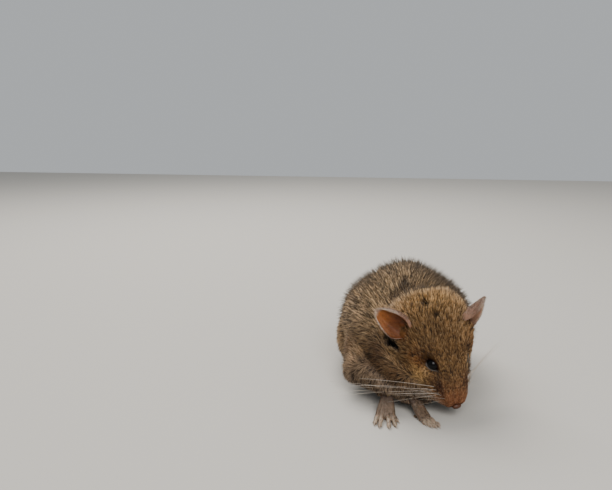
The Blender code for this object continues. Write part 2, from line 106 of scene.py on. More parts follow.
def head_frame() -> Matrix:
    """The head's axes: X to the mouse's left, Y back from the nose tip, Z out of its crown.

    Returns:
        The matrix from the head's axes to the animal's.
    """
    turn = Matrix.Rotation(math.radians(HEAD_YAW), 4, "Z")
    bow = Matrix.Rotation(math.radians(HEAD_PITCH), 4, "X")
    roll = Matrix.Rotation(math.radians(-HEAD_ROLL), 4, "Y")
    return Matrix.Translation(NOSE_TIP) @ turn @ bow @ roll


HEAD = head_frame()
SHIFT = sum(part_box("nose"), Vector()) / 2 - (HEAD @ NOSE_MIDDLE) * MM
SHIFT.z = 0.0
ROW = Matrix.Translation(SHIFT) @ Matrix.Scale(MM, 4)


# ---- arrays -----------------------------------------------------------------------------------


def turned(points: np.ndarray, frame_of: Matrix) -> np.ndarray:
    """Points taken through a frame."""
    matrix = np.array(frame_of)
    return points @ matrix[:3, :3].T + matrix[:3, 3]


def in_head(points: np.ndarray) -> np.ndarray:
    """Points of the animal's axes given in the head's axes."""
    return turned(points, HEAD.inverted())


def rise(values: np.ndarray, start: float, end: float) -> np.ndarray:
    """0 before start, 1 after end, and a smooth step between them."""
    share = np.clip((values - start) / (end - start), 0.0, 1.0)
    return share * share * (3 - 2 * share)


def unit(vectors: np.ndarray) -> np.ndarray:
    """The vectors at length 1."""
    return vectors / np.maximum(np.linalg.norm(vectors, axis=-1, keepdims=True), 1e-9)


def near(points: np.ndarray, place: Sequence[float], reach: float | Sequence[float]) -> np.ndarray:
    """1 at a place, falling smoothly to nothing around its reach, which may differ by axis."""
    gap = (points - np.array(place)) / np.array(reach)
    return np.exp(-np.sum(gap * gap, axis=1))


def to_segment(points: np.ndarray, start: Vector, end: Vector) -> np.ndarray:
    """The distance from each point to a straight line between two places.

    Args:
        points: one row per point, in the animal's millimetres.
        start: one end of the line.
        end: the other end.

    Returns:
        The distances, in millimetres.
    """
    start, end = np.array(start), np.array(end)
    along = end - start
    share = np.clip((points - start) @ along / (along @ along), 0.0, 1.0)
    return np.linalg.norm(points - start - share[:, None] * along, axis=1)


# ---- meshes -----------------------------------------------------------------------------------


def object_of(name: str, data: bpy.types.Mesh) -> bpy.types.Object:
    """A scene object that shows a mesh.

    Args:
        name: the object's name.
        data: its mesh.

    Returns:
        The object, linked to the scene.
    """
    made = bpy.data.objects.new(name, data)
    bpy.context.scene.collection.objects.link(made)
    return made


def placed(name: str, points: np.ndarray, faces: Iterable[Sequence[int]]) -> bpy.types.Object:
    """A smooth-shaded object from points in the animal's millimetres and faces facing out.

    Args:
        name: the piece's name.
        points: one row per vertex.
        faces: vertex numbers of each face.

    Returns:
        The object, in the frame's metres.
    """
    data = bpy.data.meshes.new(name)
    data.from_pydata(turned(np.asarray(points, float), ROW).tolist(), [], [list(f) for f in faces])
    data.update()
    mesh = bmesh.new()
    mesh.from_mesh(data)
    bmesh.ops.recalc_face_normals(mesh, faces=mesh.faces)
    mesh.to_mesh(data)
    mesh.free()
    data.shade_smooth()
    return object_of(name, data)


def baked(obj: bpy.types.Object) -> bpy.types.Object:
    """Turns an object's modifiers into a plain mesh.

    Args:
        obj: the object, whose modifiers are spent.

    Returns:
        The same object.
    """
    bpy.context.view_layer.update()
    graph = bpy.context.evaluated_depsgraph_get()
    data = bpy.data.meshes.new_from_object(obj.evaluated_get(graph))
    obj.modifiers.clear()
    obj.data = data
    return obj


def points_of(obj: bpy.types.Object) -> np.ndarray:
    """An object's vertices in the animal's millimetres.

    Args:
        obj: the object.

    Returns:
        One row per vertex.
    """
    flat = np.zeros(len(obj.data.vertices) * 3, np.float32)
    obj.data.vertices.foreach_get("co", flat)
    return turned(flat.reshape(-1, 3).astype(float), ROW.inverted())


def move_points(obj: bpy.types.Object, points: np.ndarray) -> None:
    """Puts an object's vertices at these places, in the animal's millimetres."""
    obj.data.vertices.foreach_set("co", turned(points, ROW).astype(np.float32).ravel())
    obj.data.update()


def normals_of(obj: bpy.types.Object) -> np.ndarray:
    """The outward direction at each vertex.

    Args:
        obj: the object.

    Returns:
        One row of length 1 per vertex.
    """
    flat = np.zeros(len(obj.data.vertices) * 3, np.float32)
    obj.data.vertex_normals.foreach_get("vector", flat)
    return flat.reshape(-1, 3).astype(float)


def carry(obj: bpy.types.Object, name: str, kind: str, values: np.ndarray) -> None:
    """Stores one value per vertex on a mesh, for materials and Geometry Nodes to read.

    Args:
        obj: the piece.
        name: the attribute's name.
        kind: its data type.
        values: one row per vertex.
    """
    field = {"FLOAT": "value", "INT": "value", "FLOAT_VECTOR": "vector", "FLOAT_COLOR": "color"}[kind]
    layer = obj.data.attributes.new(name, kind, "POINT")
    layer.data.foreach_set(field, np.ascontiguousarray(values).ravel())


def unwrapped(obj: bpy.types.Object, angle: float = 66.0) -> None:
    """Lays a piece's own surface out flat in a UV map for the baked finish.

    Args:
        obj: the piece.
        angle: the steepest bend, in degrees, inside one island.
    """
    obj.data.uv_layers.new(name="OFBake")
    bpy.ops.object.select_all(action="DESELECT")
    bpy.context.view_layer.objects.active = obj
    obj.select_set(True)
    bpy.ops.object.mode_set(mode="EDIT")
    bpy.ops.mesh.select_all(action="SELECT")
    bpy.ops.uv.smart_project(angle_limit=math.radians(angle), island_margin=0.002)
    bpy.ops.object.mode_set(mode="OBJECT")


def triangles_of(obj: bpy.types.Object) -> int:
    """How many triangles an object's faces come to."""
    return sum(len(face.vertices) - 2 for face in obj.data.polygons)


def fitted(
    obj: bpy.types.Object,
    nodes: Sequence[str] = (),
    finish: bpy.types.Material | None = None,
) -> None:
    """Finishes a piece: its material, the body that it rides on and what it stands for.

    Args:
        obj: the piece, in place.
        nodes: frame nodes that it replaces.
        finish: its material, or None to keep the one that it has.
    """
    if finish is not None:
        obj.data.materials.clear()
        obj.data.materials.append(finish)
    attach(obj, "root")
    if nodes:
        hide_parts(*nodes)
    log.info("%s: %d triangles", obj.name, triangles_of(obj))


# ---- node trees -------------------------------------------------------------------------------


def add(
    tree: bpy.types.NodeTree,
    kind: str,
    inputs: dict | None = None,
    output: int | str = 0,
    **settings: Any,
) -> bpy.types.NodeSocket | None:
    """Adds a node to a tree.

    Args:
        tree: the tree to add it to.
        kind: the node's type.
        inputs: a value or an output to link, by input name or number.
        output: the name or number of the output that is wanted.
        settings: the node's own properties, set before its inputs.

    Returns:
        That output, or None where the node has none.
    """
    node = tree.nodes.new(kind)
    for key, value in settings.items():
        setattr(node, key, value)
    for key, value in (inputs or {}).items():
        if isinstance(value, bpy.types.NodeSocket):
            tree.links.new(value, node.inputs[key])
        else:
            node.inputs[key].default_value = value
    return node.outputs[output] if len(node.outputs) else None


def linear(colour: str) -> tuple[float, float, float, float]:
    """An sRGB hex colour as linear light, with full alpha."""
    channels = [int(colour[i:i + 2], 16) / 255 for i in (0, 2, 4)]
    return (*(c / 12.92 if c <= 0.04045 else ((c + 0.055) / 1.055) ** 2.4 for c in channels), 1.0)


# ---- finishes ---------------------------------------------------------------------------------


@dataclass(frozen=True)
class FurFinish:
    """Agouti fur: slate at the root, buff in the middle, with dark guard hairs and pale tips."""

    name: str = "agouti_fur"
    roughness: float = 0.62
    ior: float = 1.55  # keratin
    shine: float = 0.25
    roots: tuple[float, float, float] = (0.08, 0.075, 0.075)  # each band as a share of the marking
    middles: tuple[float, float, float] = (0.6, 0.57, 0.54)
    ends: tuple[float, float, float] = (1.12, 1.12, 1.12)
    dimmest: float = 0.72  # the darkest and the brightest tuft, beside the marking
    brightest: float = 1.28
    tip: str = "D8B88C"  # straw tips that catch the light and make the coat sparkle
    tip_share: float = 0.32
    tip_strength: float = 0.6
    guard: str = "22160C"  # black-brown of the guard hairs
    guard_share: float = 0.28
    guard_strength: float = 0.82

    def build(self) -> bpy.types.Material:
        """The material, which reads marking, along and tone from the tufts.

        Returns:
            The material.
        """
        made = bpy.data.materials.new(self.name)
        made.use_nodes = True
        tree = made.node_tree
        shader = tree.nodes["Principled BSDF"]
        marking = add(tree, "ShaderNodeAttribute", output="Color", attribute_name="marking")
        along = add(tree, "ShaderNodeAttribute", output="Fac", attribute_name="along")
        tone = add(tree, "ShaderNodeAttribute", output="Fac", attribute_name="tone")
        bands = add(tree, "ShaderNodeValToRGB", {"Fac": along}, "Color")
        ramp = bands.node.color_ramp
        ramp.elements[0].position, ramp.elements[0].color = 0.0, (*self.roots, 1.0)
        ramp.elements[1].position, ramp.elements[1].color = 0.9, (*self.ends, 1.0)
        ramp.elements.new(0.45).color = (*self.middles, 1.0)
        level = add(
            tree,
            "ShaderNodeMapRange",
            {"Value": tone, "To Min": self.dimmest, "To Max": self.brightest},
        )
        banded = add(
            tree,
            "ShaderNodeMix",
            {0: 1.0, 6: marking, 7: bands},
            2,
            data_type="RGBA",
            blend_type="MULTIPLY",
        )
        toned = add(tree, "ShaderNodeVectorMath", {0: banded, "Scale": level}, operation="SCALE")
        tipped = add(
            tree,
            "ShaderNodeMapRange",
            {"Value": along, "From Min": 0.55, "From Max": 1.0, "To Max": self.tip_strength},
        )
        pale = add(tree, "ShaderNodeMath", {0: tone, 1: 1.0 - self.tip_share}, operation="GREATER_THAN")
        pale = add(tree, "ShaderNodeMath", {0: pale, 1: tipped}, operation="MULTIPLY")
        lit = add(tree, "ShaderNodeMix", {0: pale, 6: toned, 7: linear(self.tip)}, 2, data_type="RGBA")
        dark = add(tree, "ShaderNodeMath", {0: tone, 1: self.guard_share}, operation="LESS_THAN")
        dark = add(tree, "ShaderNodeMath", {0: dark, 1: self.guard_strength}, operation="MULTIPLY")
        colour = add(tree, "ShaderNodeMix", {0: dark, 6: lit, 7: linear(self.guard)}, 2, data_type="RGBA")
        tree.links.new(colour, shader.inputs["Base Color"])
        shader.inputs["Roughness"].default_value = self.roughness
        shader.inputs["IOR"].default_value = self.ior
        shader.inputs["Specular IOR Level"].default_value = self.shine
        return made


@dataclass(frozen=True)
class HideFinish:
    """Skin under the coat, or thin bare skin: the marking's colour, mottled, with a fine grain."""

    name: str
    roughness: float
    shade: float = 1.0  # how bright the marking shows
    mottle: float = 0.25
    grain_mm: float = 0.3  # the skin's cells; its mottling is three times as coarse
    bump_mm: float = 0.03
    translucence: float = 0.0
    glow_mm: float = 0.6
    glow: tuple[float, float, float] = (1.0, 0.35, 0.2)  # how far each colour of light goes through
    shine: float = 0.5

    def build(self) -> bpy.types.Material:
        """The material, which reads marking from the skin.

        Returns:
            The material.
        """
        made = bpy.data.materials.new(self.name)
        made.use_nodes = True
        tree = made.node_tree
        shader = tree.nodes["Principled BSDF"]
        where = add(tree, "ShaderNodeTexCoord", output="Object")
        marking = add(tree, "ShaderNodeAttribute", output="Color", attribute_name="marking")
        patches = add(
            tree,
            "ShaderNodeTexNoise",
            {"Vector": where, "Scale": 1 / (3 * self.grain_mm * MM), "Detail": 3.0},
            "Fac",
        )
        low, high = self.shade * (1 - self.mottle), self.shade * (1 + self.mottle)
        level = add(
            tree,
            "ShaderNodeMapRange",
            {"Value": patches, "From Min": 0.3, "From Max": 0.7, "To Min": low, "To Max": high},
        )
        colour = add(tree, "ShaderNodeVectorMath", {0: marking, "Scale": level}, operation="SCALE")
        grain = add(
            tree,
            "ShaderNodeTexNoise",
            {"Vector": where, "Scale": 1 / (self.grain_mm * MM), "Detail": 2.0},
            "Fac",
        )
        bump = add(tree, "ShaderNodeBump", {"Height": grain, "Distance": self.bump_mm * MM, "Strength": 1.0})
        tree.links.new(colour, shader.inputs["Base Color"])
        tree.links.new(bump, shader.inputs["Normal"])
        shader.inputs["Roughness"].default_value = self.roughness
        shader.inputs["Specular IOR Level"].default_value = self.shine
        if self.translucence:
            shader.inputs["Subsurface Weight"].default_value = self.translucence
            shader.inputs["Subsurface Radius"].default_value = self.glow
            shader.inputs["Subsurface Scale"].default_value = self.glow_mm * MM
        return made


@dataclass(frozen=True)
class PlainFinish:
    """One even colour, for small hard or wet parts."""

    name: str
    colour: str
    roughness: float
    ior: float = 1.5
    shine: float = 0.5

    def build(self) -> bpy.types.Material:
        """The material, with its values set on the shader itself.

        Returns:
            The material.
        """
        made = bpy.data.materials.new(self.name)
        made.use_nodes = True
        shader = made.node_tree.nodes["Principled BSDF"]
        shader.inputs["Base Color"].default_value = linear(self.colour)
        shader.inputs["Roughness"].default_value = self.roughness
        shader.inputs["IOR"].default_value = self.ior
        shader.inputs["Specular IOR Level"].default_value = self.shine
        return made


# Dull down at the roots of the coat, dark in its own shade.
SKIN_FINISH = HideFinish("underfur", roughness=0.9, shade=0.42, shine=0.04)
# Thin bare skin that glows where light comes through.
EAR_FINISH = HideFinish("ear_skin", 0.55, mottle=0.12, grain_mm=0.22, translucence=0.35, shine=0.2)
# Soft bare skin, a little moist.
FOOT_FINISH = HideFinish("foot_skin", roughness=0.48, mottle=0.12, grain_mm=0.18, translucence=0.2)
# Dry skin, finely scaled.
TAIL_FINISH = HideFinish("tail_skin", roughness=0.6, mottle=0.18, grain_mm=0.2)
# Moist leathery skin.
NOSE_FINISH = HideFinish("nose_leather", roughness=0.35, mottle=0.15, grain_mm=0.1, shine=0.35)
# A wet cornea over a black iris: a bead with one sharp glint.
EYE_FINISH = PlainFinish("wet_eye", "040304", 0.06, ior=1.34, shine=0.28)
# Horn, pale brown and slightly shiny.
CLAW_FINISH = PlainFinish("claw_horn", "94806E", 0.32, ior=1.54)
# Stiff pale hair.
WHISKER_FINISH = PlainFinish("whisker", "B4A89A", 0.4, ior=1.55)
# Painted board.
FLOOR_FINISH = PlainFinish("pale_board", "B9B5AE", 0.9)


# ---- the coat's plan --------------------------------------------------------------------------


@dataclass(frozen=True)
class Marking:
    """A soft patch of colour on the coat."""

    place: tuple[float, float, float]
    reach: tuple[float, float, float]
    colour: str
    strength: float = 1.0
    paired: bool = False  # the same patch on the other side too
    on_head: bool = True  # its place is in the head's axes, and not the animal's


MARKINGS = (
    Marking((0.0, 27.0, 8.0), (9.0, 5.0, 5.0), "B98E52", 0.85),  # golden crest at the nape
    Marking((0.0, 13.0, 6.0), (4.6, 9.0, 3.0), "7A5832", 0.55),  # darker line of the crown and bridge
    Marking((6.2, 13.0, 2.2), (2.6, 3.4, 2.4), "A0602C", 0.7, paired=True),  # warm round the eye
    Marking((5.9, 13.3, 4.3), (1.9, 0.9, 1.3), "4E3019", 0.85, paired=True),  # dark brow
    Marking((5.9, 10.8, 2.8), (1.3, 2.4, 1.6), "E8C898", 0.95),  # pale lid of the left eye
    Marking((6.6, 10.4, 0.4), (1.7, 2.6, 1.4), "D2A566", 0.95, paired=True),  # pale lower lid
    Marking((5.5, 10.2, 1.9), (0.9, 1.5, 0.9), "F0C58C", 1.0, paired=True),  # its bright rim: pale lid fur, brightened further as a painted highlight
    Marking((3.4, 7.9, 3.5), (0.45, 1.3, 0.7), "3A2212", 0.85, paired=True),  # dark line from the eye
    Marking((9.0, 19.0, -1.0), (3.6, 4.5, 4.0), "866A42", 0.7, paired=True),  # buff cheek
    Marking((9.2, 12.8, -0.2), (1.8, 2.2, 2.0), "6A4A28", 0.6, paired=True),  # brown below the eye
    Marking((7.4, 8.2, -0.8), (1.8, 1.8, 1.6), "C2A06C", 0.7, paired=True),  # and light before it
    Marking((0.0, 2.2, 0.0), (4.6, 4.4, 3.4), "9C6042", 0.95),  # reddish muzzle
    Marking((3.6, 5.5, 2.1), (1.3, 2.3, 1.3), "3E1A0A", 0.95, paired=True),  # dark whisker bed
    Marking((3.1, 3.8, 1.6), (0.35, 1.3, 0.5), "4A2416", 0.7, paired=True),  # row of whisker roots
    Marking((0.0, 5.0, -4.0), (4.0, 6.0, 2.6), "B9A084", 0.9),  # pale chin
    Marking((3.2, 3.4, -1.3), (1.3, 2.6, 1.2), "C4AE9A", 0.8, paired=True),  # pale lip
    Marking((8.9, 19.4, 3.0), (1.7, 1.7, 1.7), "7A4424", 0.9, paired=True),  # bare skin in the ear's bowl
    Marking((-0.5, -4.5, 28.4), (6.5, 4.5, 4.0), "6E563E", 0.25, on_head=False),  # faint dark saddle
    Marking((-14.0, -8.0, 18.5), (5.5, 7.0, 4.2), "E6C8A2", 0.8, on_head=False),  # right flank: sandy fur, brightened as painted rim light
    Marking((18.5, -4.0, 15.5), (5.0, 7.0, 5.5), "E6C8A2", 0.8, on_head=False),  # and the same on the left flank
    Marking((6.5, -7.0, 25.5), (5.5, 5.5, 4.5), "DCBC8E", 0.6, paired=True, on_head=False),  # shoulders
    Marking((0.0, 0.0, 30.0), (8.0, 5.0, 4.0), "CCAE86", 0.6, on_head=False),  # top of the back, lighter: painted rim light
    Marking((0.2, -7.2, 27.2), (1.3, 1.6, 1.6), "20140B", 0.7, on_head=False),  # its small dark patch
    Marking((13.8, -14.0, 12.0), (4.2, 4.5, 5.0), "6E5038", 0.85, paired=True, on_head=False),  # upper arms
    Marking((12.0, -20.0, 6.0), (5.0, 4.5, 4.0), "AC9888", 0.6, paired=True, on_head=False),  # grey elbows
    Marking((-1.5, -24.8, 9.5), (4.6, 3.2, 3.0), "664222", 0.8, on_head=False),  # painted shade under the right cheek
    Marking((-6.2, -21.0, 12.5), (4.2, 5.0, 5.0), "644228", 0.9, on_head=False),  # painted shadow between that cheek and the body
    Marking((15.5, -16.0, 12.0), (4.2, 5.0, 5.0), "6A4A30", 0.9, on_head=False),  # and painted shadow behind the left one
)

# Where the coat opens, near-black: its dark roots on the crown and back, and painted shadow in the slit under
# the right ear.
PARTINGS = (
    Marking((-2.4, 24.9, 7.1), (0.6, 1.05, 1.4), "0C0704"),  # two on the crown
    Marking((-0.8, 21.2, 7.6), (0.48, 0.8, 1.3), "0C0704", 0.85),
    Marking((0.0, -5.2, 27.8), (0.8, 1.2, 1.5), "0C0704", on_head=False),  # one on the back
    Marking((-10.3, 17.4, 0.5), (1.0, 1.3, 0.8), "0C0704"),  # three in a row: the slit under the right ear, painted shadow
    Marking((-10.4, 18.4, -0.9), (0.9, 1.1, 0.75), "0C0704"),
    Marking((-10.5, 19.3, -2.2), (1.0, 1.3, 0.85), "0C0704"),
)


class Coat:
    """Where the fur is long, how it lies, and what colour it is, all over the body."""

    # Base colours.
    back = "B89A73"
    # the sides: sandy fur, brightened further as painted rim light
    flank = "D2B088"
    under = "9C8875"
    head = "8C6B45"
    limb = "867361"
    # Tables for np.interp: the places, in millimetres, and the value at each.
    head_width = (0, 3, 6, 9, 12.5, 16.5, 20.5, 29), (2.8, 4.4, 5.3, 6.2, 8.6, 10.6, 11.4, 10.0)
    head_height = (0, 3, 6, 9, 12.5, 16.5, 20.5, 29), (2.6, 3.6, 4.9, 5.9, 6.9, 7.9, 8.6, 8.4)
    head_lengths = (0, 3, 6, 10, 16, 22, 29), (0.35, 0.6, 0.9, 1.3, 1.8, 2.1, 2.3)
    head_lifts = (0, 6, 12, 20, 26), (9, 14, 20, 26, 34)  # degrees, from the nose back
    body_lengths = (-24, -12, 0, 15, 25, 30), (2.0, 2.6, 3.1, 3.6, 4.0, 3.0)  # from the neck back
    low_shares = (1, 4, 9), (0.45, 0.7, 1.0)  # how much of its length the coat keeps near the floor
    limb_lengths = (3.0, 8.0), (0.7, 1.7)  # from the wrist up
    girths = (0.3, 0.8, 2.0, 4.0), (0.05, 0.07, 0.09, 0.11)  # a tuft's radius, by its length
    crowds = (0.3, 0.8, 2.0, 3.0, 4.2), (52, 44, 30, 19, 15)  # tufts on a square millimetre, by length
    body_lift = 16.0
    guards = 3.4  # guard hairs on a square millimetre of the back
    nose_calm, elbow_calm = 0.31, 0.24  # the darkest tone there

    def __init__(self, points: np.ndarray, normals: np.ndarray) -> None:
        """Takes the skin's points and outward directions, in the animal's axes.

        Args:
            points: the skin's points, one row per point, in the animal's millimetres.
            normals: the way out of the skin at each.
        """
        self.points = points
        self.normals = normals
        self.at_head = in_head(points)
        self.headness = self._head()
        self.limbness = self._limbs()
        folded = np.abs(self.at_head) * (1, 0, 0) + self.at_head * (0, 1, 1)
        self.ear_root = near(folded, (7.5, 18.8, 5.3), (1.9, 2.4, 1.9))  # fuller fur before each ear
        bowl = near(folded, (9.2, 19.6, 3.0), (1.6, 1.8, 1.9))
        self.partings = np.clip(2.2 * self.shares(PARTINGS).max(axis=0), 0, 1)
        self.bare = np.maximum(np.clip(1.5 * bowl, 0, 1), self.partings)

    def _head(self) -> np.ndarray:
        """1 on the head, falling to 0 outside its own section and behind the nape.

        Returns:
            The share, per point.
        """
        behind = self.at_head[:, 1]
        wide, tall = np.interp(behind, *self.head_width), np.interp(behind, *self.head_height)
        out = np.hypot(self.at_head[:, 0] / wide, self.at_head[:, 2] / tall)
        return (1 - rise(behind, 25.0, 31.0)) * (1 - rise(out, 1.08, 1.3)) * rise(behind, -6.0, -3.0)

    def _limbs(self) -> np.ndarray:
        """1 on the forelegs below the elbow and near the feet, falling to 0 on the body.

        Returns:
            The share, per point.
        """
        reach = np.full(len(self.points), 99.0)
        for side, wrist in ((-1, WRIST_RIGHT), (1, WRIST_LEFT)):
            elbow = Vector((0.8 + side * 12.0, -16.2, 6.9))
            reach = np.minimum(reach, to_segment(self.points, elbow.lerp(Vector(wrist), 0.35), Vector(wrist)))
        return (1 - rise(reach, 2.2, 5.0)) * (1 - self.headness)

    def length(self) -> np.ndarray:
        """How long each hair is, in millimetres.

        Returns:
            The lengths, per point.
        """
        on_head = np.interp(self.at_head[:, 1], *self.head_lengths)
        for side in Side:
            eye = np.array(EYE_PLACE) * (side.value, 1, 1)
            gap = np.linalg.norm(self.at_head - eye, axis=1)
            on_head = on_head * (0.34 + 0.66 * rise(gap, 1.6, 4.8))  # a third as long at the lids
        on_head = on_head * (1 + 0.5 * self.ear_root) * (1 - 0.6 * self.bare)
        y, z = self.points[:, 1], self.points[:, 2]
        on_body = np.interp(y, *self.body_lengths) * np.interp(z, *self.low_shares)
        length = on_body + (on_head - on_body) * self.headness
        on_limb = np.interp(z, *self.limb_lengths)
        return length + (on_limb - length) * self.limbness

    def lift(self) -> np.ndarray:
        """How far each hair stands off the skin, in degrees.

        Returns:
            The angles, per point.
        """
        on_head = np.interp(self.at_head[:, 1], *self.head_lifts) + 10.0 * self.ear_root
        lift = self.body_lift + (on_head - self.body_lift) * self.headness
        crest = near(self.at_head, (0.0, 27.5, 7.0), (12.0, 4.5, 6.0))
        return lift + 12.0 * crest - 4.0 * self.limbness

    def depth(self) -> np.ndarray:
        """How far the skin lies inside the tips of the coat, in millimetres."""
        ridge = 0.8 * rise(self.points[:, 2], 19.0, 28.0) * (1 - self.headness)  # for the guard hairs
        return np.clip(self.length() * np.sin(np.radians(self.lift())) * 0.85, 0.08, 1.25) + ridge

    def lie(self) -> np.ndarray:
        """The way that the hair runs, along the skin.

        Returns:
            One direction per point.
        """
        back = np.array(HEAD.to_3x3() @ Vector((0.0, 1.0, 0.0)))
        down = np.array(HEAD.to_3x3() @ Vector((0.0, 0.0, -1.0)))
        aside = np.abs(self.at_head[:, 0:1])
        on_head = back + down * 0.35 * rise(aside, 3.0, 9.0)
        steep = np.abs(self.normals[:, 0:1])
        low = 1 - rise(self.points[:, 2:3], 5.0, 14.0)
        on_body = np.array((0.0, 1.0, -0.18)) - np.array((0.0, 0.0, 1.0)) * (0.35 * steep + 0.5 * low)
        on_body = on_body + np.array((1.0, 0.0, 0.0)) * np.clip(self.points[:, 0:1] / 8.0, -1, 1) * 0.2
        lie = on_body + (on_head - on_body) * self.headness[:, None]
        on_limb = np.array((0.0, -0.45, -1.0))
        lie = lie + (on_limb - lie) * self.limbness[:, None]
        lie = lie - self.normals * np.sum(lie * self.normals, axis=1, keepdims=True)
        return unit(lie)

    def girth(self) -> np.ndarray:
        """How thick a tuft is, as its radius in millimetres."""
        return np.interp(self.length(), *self.girths)

    def crowd(self) -> np.ndarray:
        """How many tufts stand on a square millimetre.

        Returns:
            The counts, per point.
        """
        crowd = np.interp(self.length(), *self.crowds)
        below = rise(-self.normals[:, 2], 0.3, 0.8) * (1 - self.headness)
        return crowd * (1 - 0.6 * below) * (1 - self.bare)

    def guard_crowd(self) -> np.ndarray:
        """How many long dark guard hairs stand on a square millimetre.

        Returns:
            The counts, per point.
        """
        upper = rise(self.points[:, 2], 11.0, 25.0)
        crown = rise(self.at_head[:, 1], 14.0, 24.0) * rise(self.at_head[:, 2], 1.0, 4.0)
        crowd = self.guards * upper * (1 - self.headness * (1 - 0.3 * crown))
        return crowd * (1 - self.limbness) * (1 - self.bare)

    def calm(self) -> np.ndarray:
        """The darkest tone of a tuft, which leaves the dark flecks out towards the nose and on the elbows.

        Returns:
            The tones, from 0 to 1, per point.
        """
        nose = self.nose_calm * (1 - rise(self.at_head[:, 1], 2.5, 9.0)) * self.headness
        elbow = near(self.points, (-7.0, -22.5, 9.5), (8.0, 5.0, 6.0))
        return nose + self.elbow_calm * elbow * (1 - self.headness)

    def shares(self, patches: Sequence[Marking]) -> np.ndarray:
        """How strongly each patch shows, from 0 to 1, one row per patch.

        Args:
            patches: the patches of colour or of parted hair.

        Returns:
            A row per patch, with a share for each point.
        """
        rows = []
        for patch in patches:
            points = self.at_head if patch.on_head else self.points
            share = near(points, patch.place, patch.reach)
            if patch.paired:
                share = np.maximum(share, near(points * (-1, 1, 1), patch.place, patch.reach))
            rows.append(share * patch.strength * (self.headness if patch.on_head else 1 - self.headness))
        return np.array(rows)

    def marking(self) -> np.ndarray:
        """The coat's colour, in linear light.

        Returns:
            One colour per point.
        """
        names = (self.back, self.flank, self.under, self.head, self.limb)
        back, flank, under, head, limb = (np.array(linear(name)) for name in names)
        z = self.points[:, 2:3]
        out = np.abs(self.points[:, 0:1])
        # paler towards the sides: sandy fur and painted rim light
        colour = back + (flank - back) * rise(out, 8.0, 17.0)
        colour = colour + (under - colour) * (1 - rise(z, 3.0, 11.0))
        colour = colour + (head - colour) * self.headness[:, None]
        for patch, share in zip(MARKINGS, self.shares(MARKINGS)):
            colour = colour + (np.array(linear(patch.colour)) - colour) * share[:, None]
        # near-black at the partings: dark roots, and painted shadow in the slit under the right ear
        dark = np.clip(1.2 * self.partings, 0, 1)[:, None]
        colour = colour + (np.array(linear(PARTINGS[0].colour)) - colour) * dark
        return (colour + (limb - colour) * self.limbness[:, None]) * self.streaks()[:, None]

    def streaks(self) -> np.ndarray:
        """Light and dark streaks that run with the hair, as a factor around 1.

        Returns:
            The factors, per point.
        """
        lie = self.lie()
        middles = np.array(HEAD @ Vector((0.0, 14.0, 2.0))), np.array((0.0, 0.0, 16.0))
        from_middle = self.points - middles[1] - (middles[0] - middles[1]) * self.headness[:, None]
        # The streaks are drawn out along the hair, and are about a millimetre wide.
        narrow = from_middle - lie * np.sum(from_middle * lie, axis=1, keepdims=True) * 0.72
        strength = 0.5 + 0.25 * (1 - self.headness)
        return 1 + strength * np.array([noise.noise(Vector(point)) for point in narrow * 0.95])


class Part(Enum):
    """The pieces that the coat is made in."""

    MUZZLE = 0
    CROWN = 1
    CHEEK_RIGHT = 2
    CHEEK_LEFT = 3
    SHOULDER_RIGHT = 4
    SHOULDER_LEFT = 5
    BACK_RIGHT = 6
    BACK_LEFT = 7
    HAUNCH_RIGHT = 8
    HAUNCH_LEFT = 9
    UNDERSIDE = 10


def part_of(points: np.ndarray, normals: np.ndarray) -> np.ndarray:
    """The number of the part that each point of the skin belongs to.

    Args:
        points: one row per point, in the animal's millimetres.
        normals: the way out of the skin at each.

    Returns:
        The parts' numbers.
    """
    at_head = in_head(points)
    left = points[:, 0] > 1.0
    on_head = (at_head[:, 1] < 27.0) & (np.abs(at_head[:, 0]) < 13.5) & (np.abs(at_head[:, 2]) < 11.0)
    sideways = at_head[:, 0] > 0
    choices = (
        (on_head & (at_head[:, 1] < 8.5), Part.MUZZLE),
        (on_head & (at_head[:, 2] > 3.2), Part.CROWN),
        (on_head & ~sideways, Part.CHEEK_RIGHT),
        (on_head & sideways, Part.CHEEK_LEFT),
        (normals[:, 2] < -0.75, Part.UNDERSIDE),
        ((points[:, 1] < -6.0) & ~left, Part.SHOULDER_RIGHT),
        ((points[:, 1] < -6.0) & left, Part.SHOULDER_LEFT),
        ((points[:, 1] < 10.0) & ~left, Part.BACK_RIGHT),
        ((points[:, 1] < 10.0) & left, Part.BACK_LEFT),
        (~left, Part.HAUNCH_RIGHT),
        (left, Part.HAUNCH_LEFT),
    )
    return np.select([where for where, _ in choices], [part.value for _, part in choices])


# ---- the skin ---------------------------------------------------------------------------------


